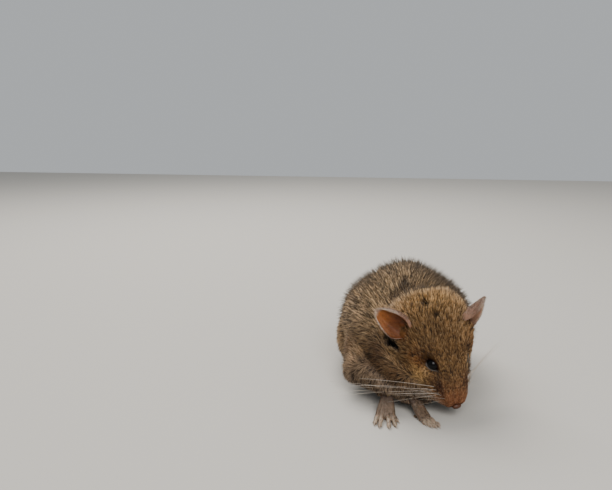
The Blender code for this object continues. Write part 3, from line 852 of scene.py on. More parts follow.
@dataclass(frozen=True)
class Eye:
    """An eyeball in its lids."""

    side: Side
    middle: tuple[float, float, float]  # sideways away from the midline, behind the nose tip, above
    outward: tuple[float, float, float]
    radius: float = EYE_RADIUS
    ahead: tuple[float, float, float] = (-0.42, -0.88, 0.11)  # towards the corner by the nose
    half_long: float = 66.0  # degrees of the ball that show, along the almond
    half_tall: float = 33.0
    lid: float = 0.16  # how far the lids' edge stands out of the ball
    sunk: float = 0.45  # how far the skin between the lids lies inside it

    def place(self) -> Matrix:
        """Its axes: X towards the nose, Y up across the almond, Z straight out of the eye.

        Returns:
            The matrix from the eye's axes to the animal's.
        """
        middle = Vector((self.side.value * self.middle[0], *self.middle[1:]))
        out = Vector((self.side.value * self.outward[0], *self.outward[1:])).normalized()
        ahead = Vector((self.side.value * self.ahead[0], *self.ahead[1:]))
        ahead = (ahead - out * ahead.dot(out)).normalized()
        up = out.cross(ahead) * self.side.value * -1
        return HEAD @ Matrix.Translation(middle) @ Matrix((ahead, up, out)).transposed().to_4x4()

    def inside_lids(self, points: np.ndarray) -> tuple[np.ndarray, np.ndarray]:
        """How far out of the almond each point lies, 1 at the lids' edge, and its distance from the eye.

        Args:
            points: one row per point, in the animal's millimetres.

        Returns:
            Both, per point.
        """
        local = turned(points, self.place().inverted())
        away = np.linalg.norm(local, axis=1)
        along = np.degrees(np.arctan2(local[:, 0], local[:, 2])) / self.half_long
        across = np.degrees(np.arctan2(local[:, 1], local[:, 2])) / self.half_tall
        outside = np.sqrt(across**2 + np.abs(along) ** 2.6)
        return np.where(local[:, 2] > 0, outside, 9.0), away

    def opened(self, points: np.ndarray) -> np.ndarray:
        """The skin's points with the lids shaped: raised at their edge and let in between them.

        Args:
            points: one row per point, in the animal's millimetres.

        Returns:
            The points, shaped.
        """
        outside, away = self.inside_lids(points)
        middle = np.array(self.place().translation)
        out = (points - middle) / np.maximum(away, 1e-6)[:, None]
        lid = np.where(outside < 1.0, self.radius - self.sunk, self.radius + self.lid)
        close = (away < self.radius + 2.2) & (outside < 2.6)
        hold = 1 - rise(outside, 1.25, 2.4)
        target = away + (lid - away) * hold
        raised = np.where(outside < 1.3, target, np.maximum(target, away * hold))
        return np.where(close[:, None], middle + out * np.where(close, raised, away)[:, None], points)

    def ball(self) -> bpy.types.Object:
        """The eyeball.

        Returns:
            The piece.
        """
        rows, around = 32, 48
        points, faces = sphere_grid(rows, around)
        cornea = 1 + 0.035 * rise(points[:, 2], 0.6, 1.0)
        points = turned(points * (self.radius * cornea)[:, None], self.place())
        return placed(f"{self.side.word}_eye", points, faces)


EYES = (
    Eye(Side.RIGHT, (3.9, 11.2, 3.05), (0.58, -0.20, 0.79)),
    Eye(Side.LEFT, (4.45, 11.6, 2.3), (0.93, -0.02, 0.36)),
)


def sphere_grid(rows: int, around: int) -> tuple[np.ndarray, list]:
    """The points and faces of a unit ball with its poles on Z.

    Args:
        rows: steps from pole to pole.
        around: steps round each ring.

    Returns:
        Its points and faces.
    """
    points = [(0.0, 0.0, 1.0)]
    for row in range(1, rows):
        tilt = math.pi * row / rows
        for step in range(around):
            turn = 2 * math.pi * step / around
            points.append((math.sin(tilt) * math.cos(turn), math.sin(tilt) * math.sin(turn), math.cos(tilt)))
    points.append((0.0, 0.0, -1.0))
    last = len(points) - 1
    faces = []
    for step in range(around):
        after = (step + 1) % around
        faces.append((0, 1 + step, 1 + after))
        faces.append((last, last - around + after, last - around + step))
        for row in range(rows - 2):
            low = 1 + row * around
            faces.append((low + step, low + around + step, low + around + after, low + after))
    return np.array(points), faces


@dataclass(frozen=True)
class Form:
    """A small soft rise of a surface, or a hollow where its height is negative."""

    height: float
    place: tuple[float, float, float]
    reach: tuple[float, float, float]


def relief(points: np.ndarray, paired: Sequence[Form], single: Sequence[Form]) -> np.ndarray:
    """How far small forms lift a surface at each of its points.

    Args:
        points: the surface's points.
        paired: forms that it has on the left, and mirrored on the right.
        single: forms that it has once.

    Returns:
        The sum of their heights, per point.
    """
    lifted = np.zeros(len(points))
    for side in (-1, 1):
        for form in paired:
            lifted += form.height * near(points, (side * form.place[0], *form.place[1:]), form.reach)
    for form in single:
        lifted += form.height * near(points, form.place, form.reach)
    return lifted


FACE_PAIRS = (
    Form(0.45, (4.6, 12.6, 5.2), (1.6, 3.4, 1.4)),  # brow
    Form(-0.35, (3.9, 8.4, 2.0), (1.1, 1.6, 1.2)),  # hollow before the eye
    Form(0.3, (6.6, 11.4, -0.6), (1.4, 2.6, 0.9)),  # lower lid's roll
    Form(0.3, (2.5, 4.0, -0.8), (1.3, 1.7, 1.3)),  # whisker pad
    Form(-0.4, (1.9, 4.2, -3.0), (1.5, 2.6, 0.35)),  # corner of the mouth
)
FACE_SINGLES = (
    Form(-0.3, (0.0, 1.4, -1.6), (0.25, 1.2, 1.6)),  # cleft of the upper lip
    Form(0.4, (6.4, 11.6, 2.4), (1.2, 2.2, 1.4)),  # the left eye's lid, half shut
)


@dataclass(frozen=True)
class Skin:
    """The body's one skin, from the wrists to the tail's root."""

    voxel: float = 0.36
    swell: float = 0.22  # closes the cuts between the solids
    smoothing: int = 7
    refinements: tuple[tuple[float, float], ...] = ((3.6, 7.0), (3.0, 0.0))  # round eyes, round muzzle
    upper_lid: str = "2A160E"
    # the lower lid's edge, grey: a painted sheen of the wet lid
    lower_lid: str = "7C736C"

    def build(self, eyes: Sequence[Eye]) -> bpy.types.Object:
        """Makes the skin and the plan of the coat on it.

        Args:
            eyes: the eyes, whose lids are shaped into it.

        Returns:
            The skin, which carries the coat's plan as attributes.
        """
        skin = self._fused(eyes)
        self._refined(skin, eyes)
        points, normals = points_of(skin), normals_of(skin)
        coat = Coat(points, normals)
        points = points - normals * coat.depth()[:, None]
        points = self._sculpted(points, normals)
        for eye in eyes:
            points = eye.opened(points)
        move_points(skin, points)
        coat = Coat(points, normals_of(skin))
        self._planned(skin, coat, eyes)
        skin.data.shade_smooth()
        unwrapped(skin)
        return skin

    def _fused(self, eyes: Sequence[Eye]) -> bpy.types.Object:
        """One closed surface round all the flesh of the frame, with the eye sockets filled.

        Args:
            eyes: the eyes, whose sockets are filled.

        Returns:
            The rough skin.
        """
        mesh = bmesh.new()
        for name in FLESH:
            mesh.from_mesh(frame["nodes"][name].data)
        bmesh.ops.remove_doubles(mesh, verts=mesh.verts, dist=1e-6)
        for eye in eyes:
            middle = Matrix.Translation(ROW @ eye.place().translation)
            bmesh.ops.create_icosphere(mesh, subdivisions=3, radius=(eye.radius + 0.1) * MM, matrix=middle)
        data = bpy.data.meshes.new("skin")
        mesh.to_mesh(data)
        mesh.free()
        skin = object_of("skin", data)
        swell = skin.modifiers.new("swell", "DISPLACE")
        swell.mid_level = 0.0
        swell.strength = self.swell * MM
        fuse = skin.modifiers.new("fuse", "REMESH")
        fuse.mode = "VOXEL"
        fuse.voxel_size = self.voxel * MM
        soften = skin.modifiers.new("soften", "SMOOTH")
        soften.factor = 0.5
        soften.iterations = self.smoothing
        return baked(skin)

    def _refined(self, skin: bpy.types.Object, eyes: Sequence[Eye]) -> None:
        """Splits the faces round the eyes and on the muzzle, where the skin has fine forms.

        Args:
            skin: the rough skin.
            eyes: the eyes.
        """
        for reach, at_muzzle in self.refinements:
            mesh = bmesh.new()
            mesh.from_mesh(skin.data)
            spots = [(ROW @ eye.place().translation, reach * MM) for eye in eyes]
            spots.append((ROW @ HEAD @ Vector((0.0, 2.0, -1.0)), at_muzzle * MM))
            edges = [
                edge for edge in mesh.edges
                if any((edge.verts[0].co - spot).length < far for spot, far in spots)
            ]
            bmesh.ops.subdivide_edges(mesh, edges=edges, cuts=1, use_grid_fill=True)
            bmesh.ops.triangulate(mesh, faces=[face for face in mesh.faces if len(face.verts) > 4])
            mesh.to_mesh(skin.data)
            mesh.free()

    def _sculpted(self, points: np.ndarray, normals: np.ndarray) -> np.ndarray:
        """The skin's points with the face's small forms raised and let in.

        Args:
            points: one row per point, in the animal's millimetres.
            normals: the way out of the skin at each.

        Returns:
            The points, shaped.
        """
        return points + normals * relief(in_head(points), FACE_PAIRS, FACE_SINGLES)[:, None]

    def _planned(self, skin: bpy.types.Object, coat: Coat, eyes: Sequence[Eye]) -> None:
        """Stores the coat's plan on the skin: none grows on the lids' edge or the eyeballs.

        Args:
            skin: the finished skin.
            coat: its plan.
            eyes: the eyes.
        """
        bare = np.zeros(len(coat.points))
        marking = coat.marking()
        upper, lower = np.array(linear(self.upper_lid)), np.array(linear(self.lower_lid))
        for eye in eyes:
            outside, away = eye.inside_lids(coat.points)
            local = turned(coat.points, eye.place().inverted())
            # the lower side of the edge takes the painted sheen, short of the corner away from the nose
            below = (1 - rise(local[:, 1], -0.5, 0.1)) * rise(local[:, 0], -1.5, -0.9)
            close = away < eye.radius + 1.2
            bare = np.maximum(bare, np.where(close, 1 - rise(outside, 1.3, 1.6), 0.0))
            rim = np.where(close, 1 - rise(outside, 1.2, 1.5), 0.0)
            marking = marking + (upper + (lower - upper) * below[:, None] - marking) * rim[:, None]
        carry(skin, "lie", "FLOAT_VECTOR", coat.lie())
        carry(skin, "reach", "FLOAT", coat.length() * MM)
        carry(skin, "girth", "FLOAT", coat.girth() * MM)
        carry(skin, "lift", "FLOAT", np.radians(coat.lift()))
        carry(skin, "crowd", "FLOAT", coat.crowd() * (1 - bare))
        carry(skin, "guard", "FLOAT", coat.guard_crowd() * (1 - bare))
        carry(skin, "marking", "FLOAT_COLOR", marking)
        carry(skin, "calm", "FLOAT", coat.calm())
        carry(skin, "part", "INT", part_of(coat.points, coat.normals).astype(np.int32))


# ---- tufts ------------------------------------------------------------------------------------


@dataclass(frozen=True)
class Tuft:
    """A lock of hair a unit long, up Z, that droops towards -X."""

    droop: float  # of the tip, as a share of the length
    radii: tuple[float, ...] = (0.75, 1.0)
    levels: tuple[float, ...] = (0.0, 0.42)
    sides: int = 3
    slenderness: float = 20.0  # its length over its radius, once it is scaled
    patch: float = 0.003  # how much of the unwrap it covers

    def build(self, name: str) -> bpy.types.Object:
        """The tuft as a closed spike, with its place along the hair and its patch of the unwrap.

        Args:
            name: the tuft's name.

        Returns:
            The tuft, outside the scene.
        """
        points, along, patch = [], [], []
        for level, radius in zip(self.levels, self.radii):
            for step in range(self.sides):
                turn = 2 * math.pi * step / self.sides
                bent = self.droop * level**2 * self.slenderness
                points.append((radius * math.cos(turn) - bent, radius * math.sin(turn), level))
                along.append(level)
                patch.append((self.patch / 2 * math.sin(turn), self.patch * (level - 0.5), 0.0))
        points.append((-self.droop * self.slenderness, 0.0, 1.0))
        along.append(1.0)
        patch.append((0.0, self.patch / 2, 0.0))
        faces = [tuple(reversed(range(self.sides)))]
        tip = len(points) - 1
        for ring in range(len(self.levels)):
            low = ring * self.sides
            for step in range(self.sides):
                after = (step + 1) % self.sides
                above = low + self.sides
                if ring == len(self.levels) - 1:
                    faces.append((low + step, low + after, tip))
                else:
                    faces.append((low + step, low + after, above + after, above + step))
        data = bpy.data.meshes.new(name)
        data.from_pydata(points, [], faces)
        data.shade_smooth()
        made = bpy.data.objects.new(name, data)
        carry(made, "along", "FLOAT", np.array(along))
        carry(made, "patch", "FLOAT_VECTOR", np.array(patch))
        return made


def tuft_collection(name: str, tufts: Sequence[Tuft]) -> bpy.types.Collection:
    """A hidden collection of tufts for the coat to pick from.

    Args:
        name: the collection's name.
        tufts: what it holds.

    Returns:
        The collection, outside the scene.
    """
    made = bpy.data.collections.new(name)
    for number, tuft in enumerate(tufts):
        made.objects.link(tuft.build(f"{name}_{number}"))
    return made


class CoatTree:
    """Geometry Nodes that set tufts over a skin, along the lie that the skin carries."""

    clump_scale = 950.0  # clumps of about a millimetre, which stray together
    lock_scale = 2500.0  # locks of about 0.4 mm, which are dark or light together
    loose = 0.22  # how far a lone tuft strays from its clump
    spent = ("lie", "reach", "girth", "lift", "crowd", "guard", "calm", "part", "root_uv", "patch")

    def __init__(self) -> None:
        """Builds the tree once, for all the coat's pieces."""
        self.tree = bpy.data.node_groups.new("coat", "GeometryNodeTree")
        sockets = self.tree.interface
        kinds = {
            "Skin": "NodeSocketGeometry",
            "Tufts": "NodeSocketCollection",
            "Kinds": "NodeSocketInt",
            "Part": "NodeSocketInt",
            "Crowd": "NodeSocketString",
            "Density": "NodeSocketFloat",
            "Stray": "NodeSocketFloat",
            "Length": "NodeSocketFloat",
            "Lift": "NodeSocketFloat",
            "Girth": "NodeSocketFloat",
            "Darkest": "NodeSocketFloat",
            "Palest": "NodeSocketFloat",
            "Seed": "NodeSocketInt",
            "Finish": "NodeSocketMaterial",
        }
        self.ids = {
            name: sockets.new_socket(name, in_out="INPUT", socket_type=kind).identifier
            for name, kind in kinds.items()
        }
        sockets.new_socket("Coat", in_out="OUTPUT", socket_type="NodeSocketGeometry")
        self._fill()

    def _named(self, name: Any, kind: str = "FLOAT") -> bpy.types.NodeSocket:
        """A value that the skin or the tufts carry.

        Args:
            name: the attribute's name, or a socket that gives it.
            kind: its data type.

        Returns:
            Its output.
        """
        inputs = {"Name": name}
        return add(self.tree, "GeometryNodeInputNamedAttribute", inputs, "Attribute", data_type=kind)

    def _random(
        self, low: Any, high: Any, seed: bpy.types.NodeSocket, kind: str = "FLOAT"
    ) -> bpy.types.NodeSocket:
        """A random value per tuft.

        Args:
            low: the least.
            high: the most.
            seed: its seed.
            kind: its data type.

        Returns:
            Its output.
        """
        first = {"FLOAT_VECTOR": 0, "FLOAT": 2, "INT": 4}[kind]
        inputs = {first: low, first + 1: high, "Seed": seed}
        return add(self.tree, "FunctionNodeRandomValue", inputs, first // 2, data_type=kind)

    def _varied(self, by: float, stray: Any, seed: bpy.types.NodeSocket) -> bpy.types.NodeSocket:
        """A random factor around 1, per tuft, that varies more where the hair strays more."""
        return self._math("ADD", self._math("MULTIPLY", self._random(-by, by, seed), stray), 1.0)

    def _math(self, operation: str, first: Any, second: Any = 0.0) -> bpy.types.NodeSocket:
        """A sum on numbers."""
        return add(self.tree, "ShaderNodeMath", {0: first, 1: second}, operation=operation)

    def _vector(
        self, operation: str, first: Any, second: Any = None, scale: Any = None
    ) -> bpy.types.NodeSocket:
        """A sum on vectors.

        Args:
            operation: the node's operation.
            first: a vector.
            second: another, if it takes one.
            scale: a factor, if it takes one.

        Returns:
            Its output.
        """
        inputs = {0: first}
        if second is not None:
            inputs[1] = second
        if scale is not None:
            inputs["Scale"] = scale
        wanted = "Value" if operation == "DOT_PRODUCT" else "Vector"
        return add(self.tree, "ShaderNodeVectorMath", inputs, wanted, operation=operation)

    def _direction(self, given: Any, normal: bpy.types.NodeSocket, seeds: Sequence) -> bpy.types.NodeSocket:
        """The way that each tuft points: its lie, strayed in clumps, and lifted off the skin.

        Args:
            given: the tree's inputs.
            normal: the way out of the skin.
            seeds: seeds to draw from.

        Returns:
            The direction.
        """
        waves = add(self.tree, "ShaderNodeTexNoise", {"Scale": self.clump_scale, "Detail": 1.0}, "Color")
        clump = self._vector("SCALE", self._vector("SUBTRACT", waves, (0.5, 0.5, 0.5)), scale=given["Stray"])
        loose = self._random((-self.loose,) * 3, (self.loose,) * 3, seeds[0], "FLOAT_VECTOR")
        loose = self._vector("SCALE", loose, scale=given["Stray"])
        lie = self._vector("ADD", self._vector("ADD", self._named("lie", "FLOAT_VECTOR"), clump), loose)
        off = self._vector("SCALE", normal, scale=self._vector("DOT_PRODUCT", lie, normal))
        flat = self._vector("NORMALIZE", self._vector("SUBTRACT", lie, off))
        angle = self._math("MULTIPLY", self._named("lift"), self._varied(0.55, given["Stray"], seeds[1]))
        angle = self._math("MULTIPLY", angle, given["Lift"])
        run = self._vector("SCALE", flat, scale=self._math("COSINE", angle))
        stand = self._vector("SCALE", normal, scale=self._math("SINE", angle))
        return self._vector("ADD", run, stand)

    def _fill(self) -> None:
        """Adds and links the tree's nodes."""
        tree = self.tree
        given = add(tree, "NodeGroupInput").node.outputs
        seeds = [self._math("ADD", given["Seed"], number) for number in range(6)]
        chosen = add(
            tree,
            "FunctionNodeCompare",
            {2: self._named("part", "INT"), 3: given["Part"]},
            data_type="INT",
            operation="EQUAL",
        )
        everywhere = self._math("LESS_THAN", given["Part"], 0.0)
        chosen = self._math("MAXIMUM", chosen, everywhere)
        crowd = self._math("MULTIPLY", self._named(given["Crowd"]), given["Density"])
        crowd = self._math("MULTIPLY", crowd, 1 / MM**2)
        points = add(
            tree,
            "GeometryNodeDistributePointsOnFaces",
            {"Mesh": given["Skin"], "Selection": chosen, "Density": crowd, "Seed": given["Seed"]},
            "Points",
            distribute_method="RANDOM",
        )
        normal = points.node.outputs["Normal"]
        rooted = add(
            tree,
            "GeometryNodeStoreNamedAttribute",
            {"Geometry": points, "Name": "root_uv", "Value": self._named("OFBake", "FLOAT_VECTOR")},
            data_type="FLOAT_VECTOR",
            domain="POINT",
        )
        turn = add(
            tree,
            "FunctionNodeAxesToRotation",
            {0: self._direction(given, normal, seeds), 1: normal},
            primary_axis="Z",
            secondary_axis="X",
        )
        thick = self._math("MULTIPLY", self._named("girth"), self._random(0.7, 1.3, seeds[2]))
        thick = self._math("MULTIPLY", thick, given["Girth"])
        long = self._math("MULTIPLY", self._named("reach"), self._varied(0.25, given["Stray"], seeds[3]))
        long = self._math("MULTIPLY", long, given["Length"])
        scale = add(tree, "ShaderNodeCombineXYZ", {0: thick, 1: thick, 2: long})
        tufts = add(
            tree,
            "GeometryNodeCollectionInfo",
            {"Collection": given["Tufts"], "Separate Children": True, "Reset Children": True},
        )
        last = self._math("SUBTRACT", given["Kinds"], 1)
        pick = self._random(0, last, seeds[4], "INT")
        grown = add(
            tree,
            "GeometryNodeInstanceOnPoints",
            {
                "Points": rooted,
                "Instance": tufts,
                "Pick Instance": True,
                "Instance Index": pick,
                "Rotation": turn,
                "Scale": scale,
            },
        )
        toned = add(
            tree,
            "GeometryNodeStoreNamedAttribute",
            {"Geometry": grown, "Name": "tone", "Value": self._tone(given, seeds[5])},
            data_type="FLOAT",
            domain="INSTANCE",
        )
        real = add(tree, "GeometryNodeRealizeInstances", {"Geometry": toned})
        mapped = add(
            tree,
            "GeometryNodeStoreNamedAttribute",
            {
                "Geometry": real,
                "Name": "OFBake",
                "Value": self._vector(
                    "ADD", self._named("root_uv", "FLOAT_VECTOR"), self._named("patch", "FLOAT_VECTOR")
                ),
            },
            data_type="FLOAT2",
            domain="CORNER",
        )
        dressed = add(tree, "GeometryNodeSetMaterial", {"Geometry": mapped, "Material": given["Finish"]})
        add(tree, "NodeGroupOutput", {"Coat": dressed})

    def _tone(self, given: Any, seed: bpy.types.NodeSocket) -> bpy.types.NodeSocket:
        """How light each tuft is: partly its own, and partly its lock's.

        Args:
            given: the tree's inputs.
            seed: the seed to draw from.

        Returns:
            The tone, from 0 to 1.
        """
        lone = self._random(0.0, 1.0, seed)
        locks = add(self.tree, "ShaderNodeTexNoise", {"Scale": self.lock_scale, "Detail": 0.0}, "Fac")
        shared = self._math("MULTIPLY", self._math("SUBTRACT", locks, 0.5), 2.4)
        tone = self._math("ADD", self._math("ADD", self._math("MULTIPLY", lone, 0.5), 0.25), shared)
        tone = add(
            self.tree,
            "ShaderNodeMapRange",
            {"Value": tone, "To Min": given["Darkest"], "To Max": given["Palest"]},
        )
        return self._math("MAXIMUM", tone, self._named("calm"))

    def grow(self, skin: bpy.types.Object, name: str, **inputs: Any) -> bpy.types.Object:
        """One piece of coat, as a plain mesh.

        Args:
            skin: the piece that it grows on, which carries the coat's plan.
            name: the new piece's name.
            inputs: the tree's inputs, by name.

        Returns:
            The tufts, joined in one mesh.
        """
        host = object_of(name, skin.data.copy())
        modifier = host.modifiers.new("coat", "NODES")
        modifier.node_group = self.tree
        for key, value in inputs.items():
            modifier[self.ids[key]] = value
        grown = baked(host)
        for spent in self.spent:
            if spent in grown.data.attributes:
                grown.data.attributes.remove(grown.data.attributes[spent])
        points = points_of(grown)
        points[:, 2] = np.maximum(points[:, 2], 0.0)  # hair bends where it meets the floor
        move_points(grown, points)
        return grown


SHORT_TUFTS = (Tuft(0.10), Tuft(0.16), Tuft(0.05, radii=(0.6, 0.85)))
FINE_TUFTS = (Tuft(0.2, radii=(1.0, 0.8)), Tuft(0.1, radii=(1.0, 0.7)))


# ---- tubes ------------------------------------------------------------------------------------


def smooth_rows(rows: Sequence[Sequence[float]], steps: int) -> np.ndarray:
    """Rows of numbers with Catmull-Rom rows between them.

    Args:
        rows: the rows to pass through.
        steps: how many rows each gap is divided into.

    Returns:
        All the rows.
    """
    marks = np.array(rows, float)
    padded = np.vstack((2 * marks[0] - marks[1], marks, 2 * marks[-1] - marks[-2]))
    made = []
    for a, b, c, d in zip(padded, padded[1:], padded[2:], padded[3:]):
        bend, twist = 2 * a - 5 * b + 4 * c - d, 3 * b - a - 3 * c + d
        for t in np.arange(steps) / steps:
            made.append(0.5 * (2 * b + (c - a) * t + bend * t**2 + twist * t**3))
    return np.vstack((*made, marks[-1]))


def tube(rows: np.ndarray, around: int, domes: int = 3) -> tuple[np.ndarray, list]:
    """A closed round tube with domed ends.

    Args:
        rows: x, y, z and radius along its middle line.
        around: how many points make each ring.
        domes: how many rings round off each end.

    Returns:
        Its points and faces.
    """
    ends = []
    for end, inner in ((0, 1), (-1, -2)):
        out = unit(rows[end, :3] - rows[inner, :3])
        middle, radius = rows[end, :3], rows[end, 3]
        turns = [math.pi / 2 * (step + 1) / (domes + 1) for step in range(domes)]
        ends.append([np.append(middle + out * radius * math.sin(t), radius * math.cos(t)) for t in turns])
    rows = np.vstack([*ends[0][::-1], rows, *ends[1]])
    ahead = unit(np.gradient(rows[:, :3], axis=0))
    across = np.cross(ahead[0], (0.0, 0.0, 1.0) if abs(ahead[0, 2]) < 0.9 else (1.0, 0.0, 0.0))
    points = []
    for place, way in zip(rows, ahead):
        across = unit(across - way * (across @ way))
        up = np.cross(way, across)
        for step in range(around):
            turn = 2 * math.pi * step / around
            points.append(place[:3] + place[3] * (math.cos(turn) * across + math.sin(turn) * up))
    faces = []
    for low in range(0, (len(rows) - 1) * around, around):
        for step in range(around):
            after = (step + 1) % around
            faces.append((low + step, low + after, low + around + after, low + around + step))
    faces.append(tuple(range(around)))
    faces.append(tuple(range((len(rows) - 1) * around, len(rows) * around)))
    return np.array(points), faces


def joined(shapes: Sequence[tuple[np.ndarray, list]]) -> tuple[np.ndarray, list]:
    """Several shapes as one list of points and one of faces.

    Args:
        shapes: points and faces of each.

    Returns:
        The points and faces of all.
    """
    points, faces, start = [], [], 0
    for made, rings in shapes:
        points.append(made)
        faces.extend(tuple(number + start for number in ring) for ring in rings)
        start += len(made)
    return np.vstack(points), faces


def melted(obj: bpy.types.Object, voxel: float, smoothing: int) -> bpy.types.Object:
    """One even skin round all the shapes that an object holds.

    Args:
        obj: the object.
        voxel: the grid that it is remade on, in millimetres.
        smoothing: rounds of smoothing.

    Returns:
        The same object.
    """
    fuse = obj.modifiers.new("fuse", "REMESH")
    fuse.mode = "VOXEL"
    fuse.voxel_size = voxel * MM
    soften = obj.modifiers.new("soften", "SMOOTH")
    soften.factor = 0.5
    soften.iterations = smoothing
    baked(obj)
    obj.data.shade_smooth()
    return obj


@dataclass(frozen=True)
class Down:
    """The short hair of a bare part: how long, thick and close it is, and how far it lifts."""

    length: float
    radius: float
    per_square_mm: float
    lift: float

    def carried_by(
        self, obj: bpy.types.Object, lie: np.ndarray, share: np.ndarray, marking: np.ndarray
    ) -> None:
        """Stores the hair's plan on a piece.

        Args:
            obj: the piece that it grows on.
            lie: the way that it runs, per vertex.
            share: how much of it grows, from 0 to 1, per vertex.
            marking: its colour, per vertex.
        """
        count = len(lie)
        normals = normals_of(obj)
        lie = unit(lie - normals * np.sum(lie * normals, axis=1, keepdims=True))
        carry(obj, "lie", "FLOAT_VECTOR", lie)
        carry(obj, "reach", "FLOAT", np.full(count, self.length * MM))
        carry(obj, "girth", "FLOAT", np.full(count, self.radius * MM))
        carry(obj, "lift", "FLOAT", np.full(count, math.radians(self.lift)))
        carry(obj, "crowd", "FLOAT", self.per_square_mm * share)
        carry(obj, "marking", "FLOAT_COLOR", marking)
        carry(obj, "part", "INT", np.zeros(count, np.int32))
        unwrapped(obj)


# ---- ears -------------------------------------------------------------------------------------


@dataclass(frozen=True)
class Ear:
    """A thin cupped leaf, scrolled at its root, with a rolled inner edge and a soft point."""

    side: Side
    axis: tuple[float, float, float]  # sideways, upwards, backwards
    opening: tuple[float, float, float]
    length: float
    back: float
    aside: float
    above: float = 3.4
    half_width: float = 4.9
    skew: float = 0.22  # how much wider its inner half is than its outer half
    roll: float = 62.0  # degrees that the inner edge turns over
    sunk: float = 3.4  # how far its root goes down into the coat
    lean: float = 1.4  # how far its tip leans back
    curl: float = 128.0  # degrees that the leaf curls round at its root
    uncurl: float = 30.0  # how much less it does at its tip
    widest: float = 0.32  # its widest place, as a share of its length
    wall: float = 0.42
    columns: int = 40
    rows: int = 48
    glow: str = "8E5426"  # of the inside near the tip: the skin's colour with painted light shining through it
    deep: str = "603418"  # of the bowl and the root: the skin's colour with painted shade
    outer: str = "A08676"
    fold: str = "8A6A58"  # of the edge that turns over
    # pale edge, partly brightened as a painted highlight where the margin curls
    rim: str = "E0CCB8"
    hair: str = "A08A70"
    down: Down = Down(0.75, 0.028, 26.0, 16.0)

    def place(self) -> Matrix:
        """Its axes: X across, Y the way that it opens, Z from root to tip.

        Returns:
            The matrix from the ear's axes to the animal's.
        """
        side = self.side.value
        axis = Vector((side * self.axis[0], self.axis[2], self.axis[1])).normalized()
        opening = Vector((side * self.opening[0], self.opening[2], self.opening[1]))
        opening = (opening - axis * opening.dot(axis)).normalized()
        turn = Matrix((opening.cross(axis), opening, axis)).transposed().to_4x4()
        root = Matrix.Translation(Vector((side * self.aside, self.back, self.above)) - axis * self.sunk)
        return HEAD @ root @ turn

    def _leaf(self, across: np.ndarray, up: np.ndarray) -> np.ndarray:
        """Points of the leaf's middle surface, from -1 to 1 across and 0 to 1 up.

        Args:
            across: places across, as a grid.
            up: places up, as a grid.

        Returns:
            A grid of points in the ear's axes.
        """
        side = self.side.value
        widest = self.widest
        below = 0.62 + 0.38 * np.sin(np.pi / 2 * np.clip(up / widest, 0, 1))
        above = np.clip(1.0 - (np.clip(up - widest, 0, 1) / (1.006 - widest)) ** 1.75, 0.0, 1.0) ** 0.7
        width = np.where(up < widest, below, above)
        half = self.half_width * width * (1 + self.skew * np.clip(across * side * 4, -1, 1))
        curl = np.radians(self.curl - self.uncurl * up)
        rolled = np.radians(self.roll) * rise(across * side, 0.3, 1.0) * side
        heading = curl * across / 2 + rolled * (1 - 0.45 * up)
        step = np.gradient(across, axis=1) * half
        x, y = np.cumsum(np.cos(heading) * step, axis=1), np.cumsum(np.sin(heading) * step, axis=1)
        middle = across.shape[1] // 2
        x, y = x - x[:, middle:middle + 1], y - y[:, middle:middle + 1]
        return np.stack((x, y - self.lean * up**2, self.length * up), axis=-1)

    def build(self) -> bpy.types.Object:
        """The ear with its folds, its markings and the plan of its down.

        Returns:
            The piece.
        """
        columns, rows = self.columns, self.rows
        j, i = np.meshgrid(np.arange(rows + 1), np.arange(columns + 1), indexing="ij")
        across, up = 2 * i / columns - 1, 1 - (1 - j / rows) ** 1.45
        leaf = self._leaf(across, up)
        step_up = np.gradient(leaf, axis=0)
        step_across = np.gradient(leaf, axis=1)
        normal = unit(np.cross(step_across, step_up))
        inner = 1.0 if np.mean(normal[..., 1]) > 0 else -1.0
        normal = normal * inner
        rim = rise(np.abs(across), 0.7, 1.0) + rise(up, 0.8, 1.0)
        # Low ribs up the inside, a ridge across the bowl, and the rolled edge.
        ribs = 0.10 * np.cos(across * 9.0 + 2.0 * up) * (1 - rim.clip(0, 1)) * rise(up, 0.12, 0.4)
        ridge = 0.45 * np.exp(-(((across + 0.25) / 0.12) ** 2)) * np.exp(-(((up - 0.22) / 0.16) ** 2))
        roll = 0.35 * rise(np.abs(across), 0.82, 1.0) * (1 - rise(up, 0.7, 1.0))
        thick = self.wall * (1 - 0.45 * np.clip(rim, 0, 1))
        front = leaf + normal * (thick / 2 + ribs + ridge + roll)[..., None]
        rear = leaf + normal * (-thick / 2 + ribs + roll)[..., None]
        points = np.vstack((front.reshape(-1, 3), rear.reshape(-1, 3)))
        obj = placed(f"{self.side.word}_ear", turned(points, self.place()), self._faces())
        count = (rows + 1) * (columns + 1)
        is_front = np.arange(2 * count) < count
        self._dressed(obj, np.tile(across.ravel(), 2), np.tile(up.ravel(), 2), is_front)
        return obj

    def _faces(self) -> list:
        """Faces of the inner and outer sheets, and of the edge between them.

        Returns:
            The faces.
        """
        rows, columns = self.rows, self.columns
        wide = columns + 1
        count = (rows + 1) * wide
        faces = []
        for j in range(rows):
            for i in range(columns):
                a = j * wide + i
                faces.append((a, a + 1, a + wide + 1, a + wide))
                faces.append((count + a, count + a + wide, count + a + wide + 1, count + a + 1))
        loop = list(range(wide))
        loop += [j * wide + columns for j in range(1, rows + 1)]
        loop += [rows * wide + i for i in range(columns - 1, -1, -1)]
        loop += [j * wide for j in range(rows - 1, 0, -1)]
        for a, b in zip(loop, loop[1:] + loop[:1]):
            faces.append((a, count + a, count + b, b))
        return faces

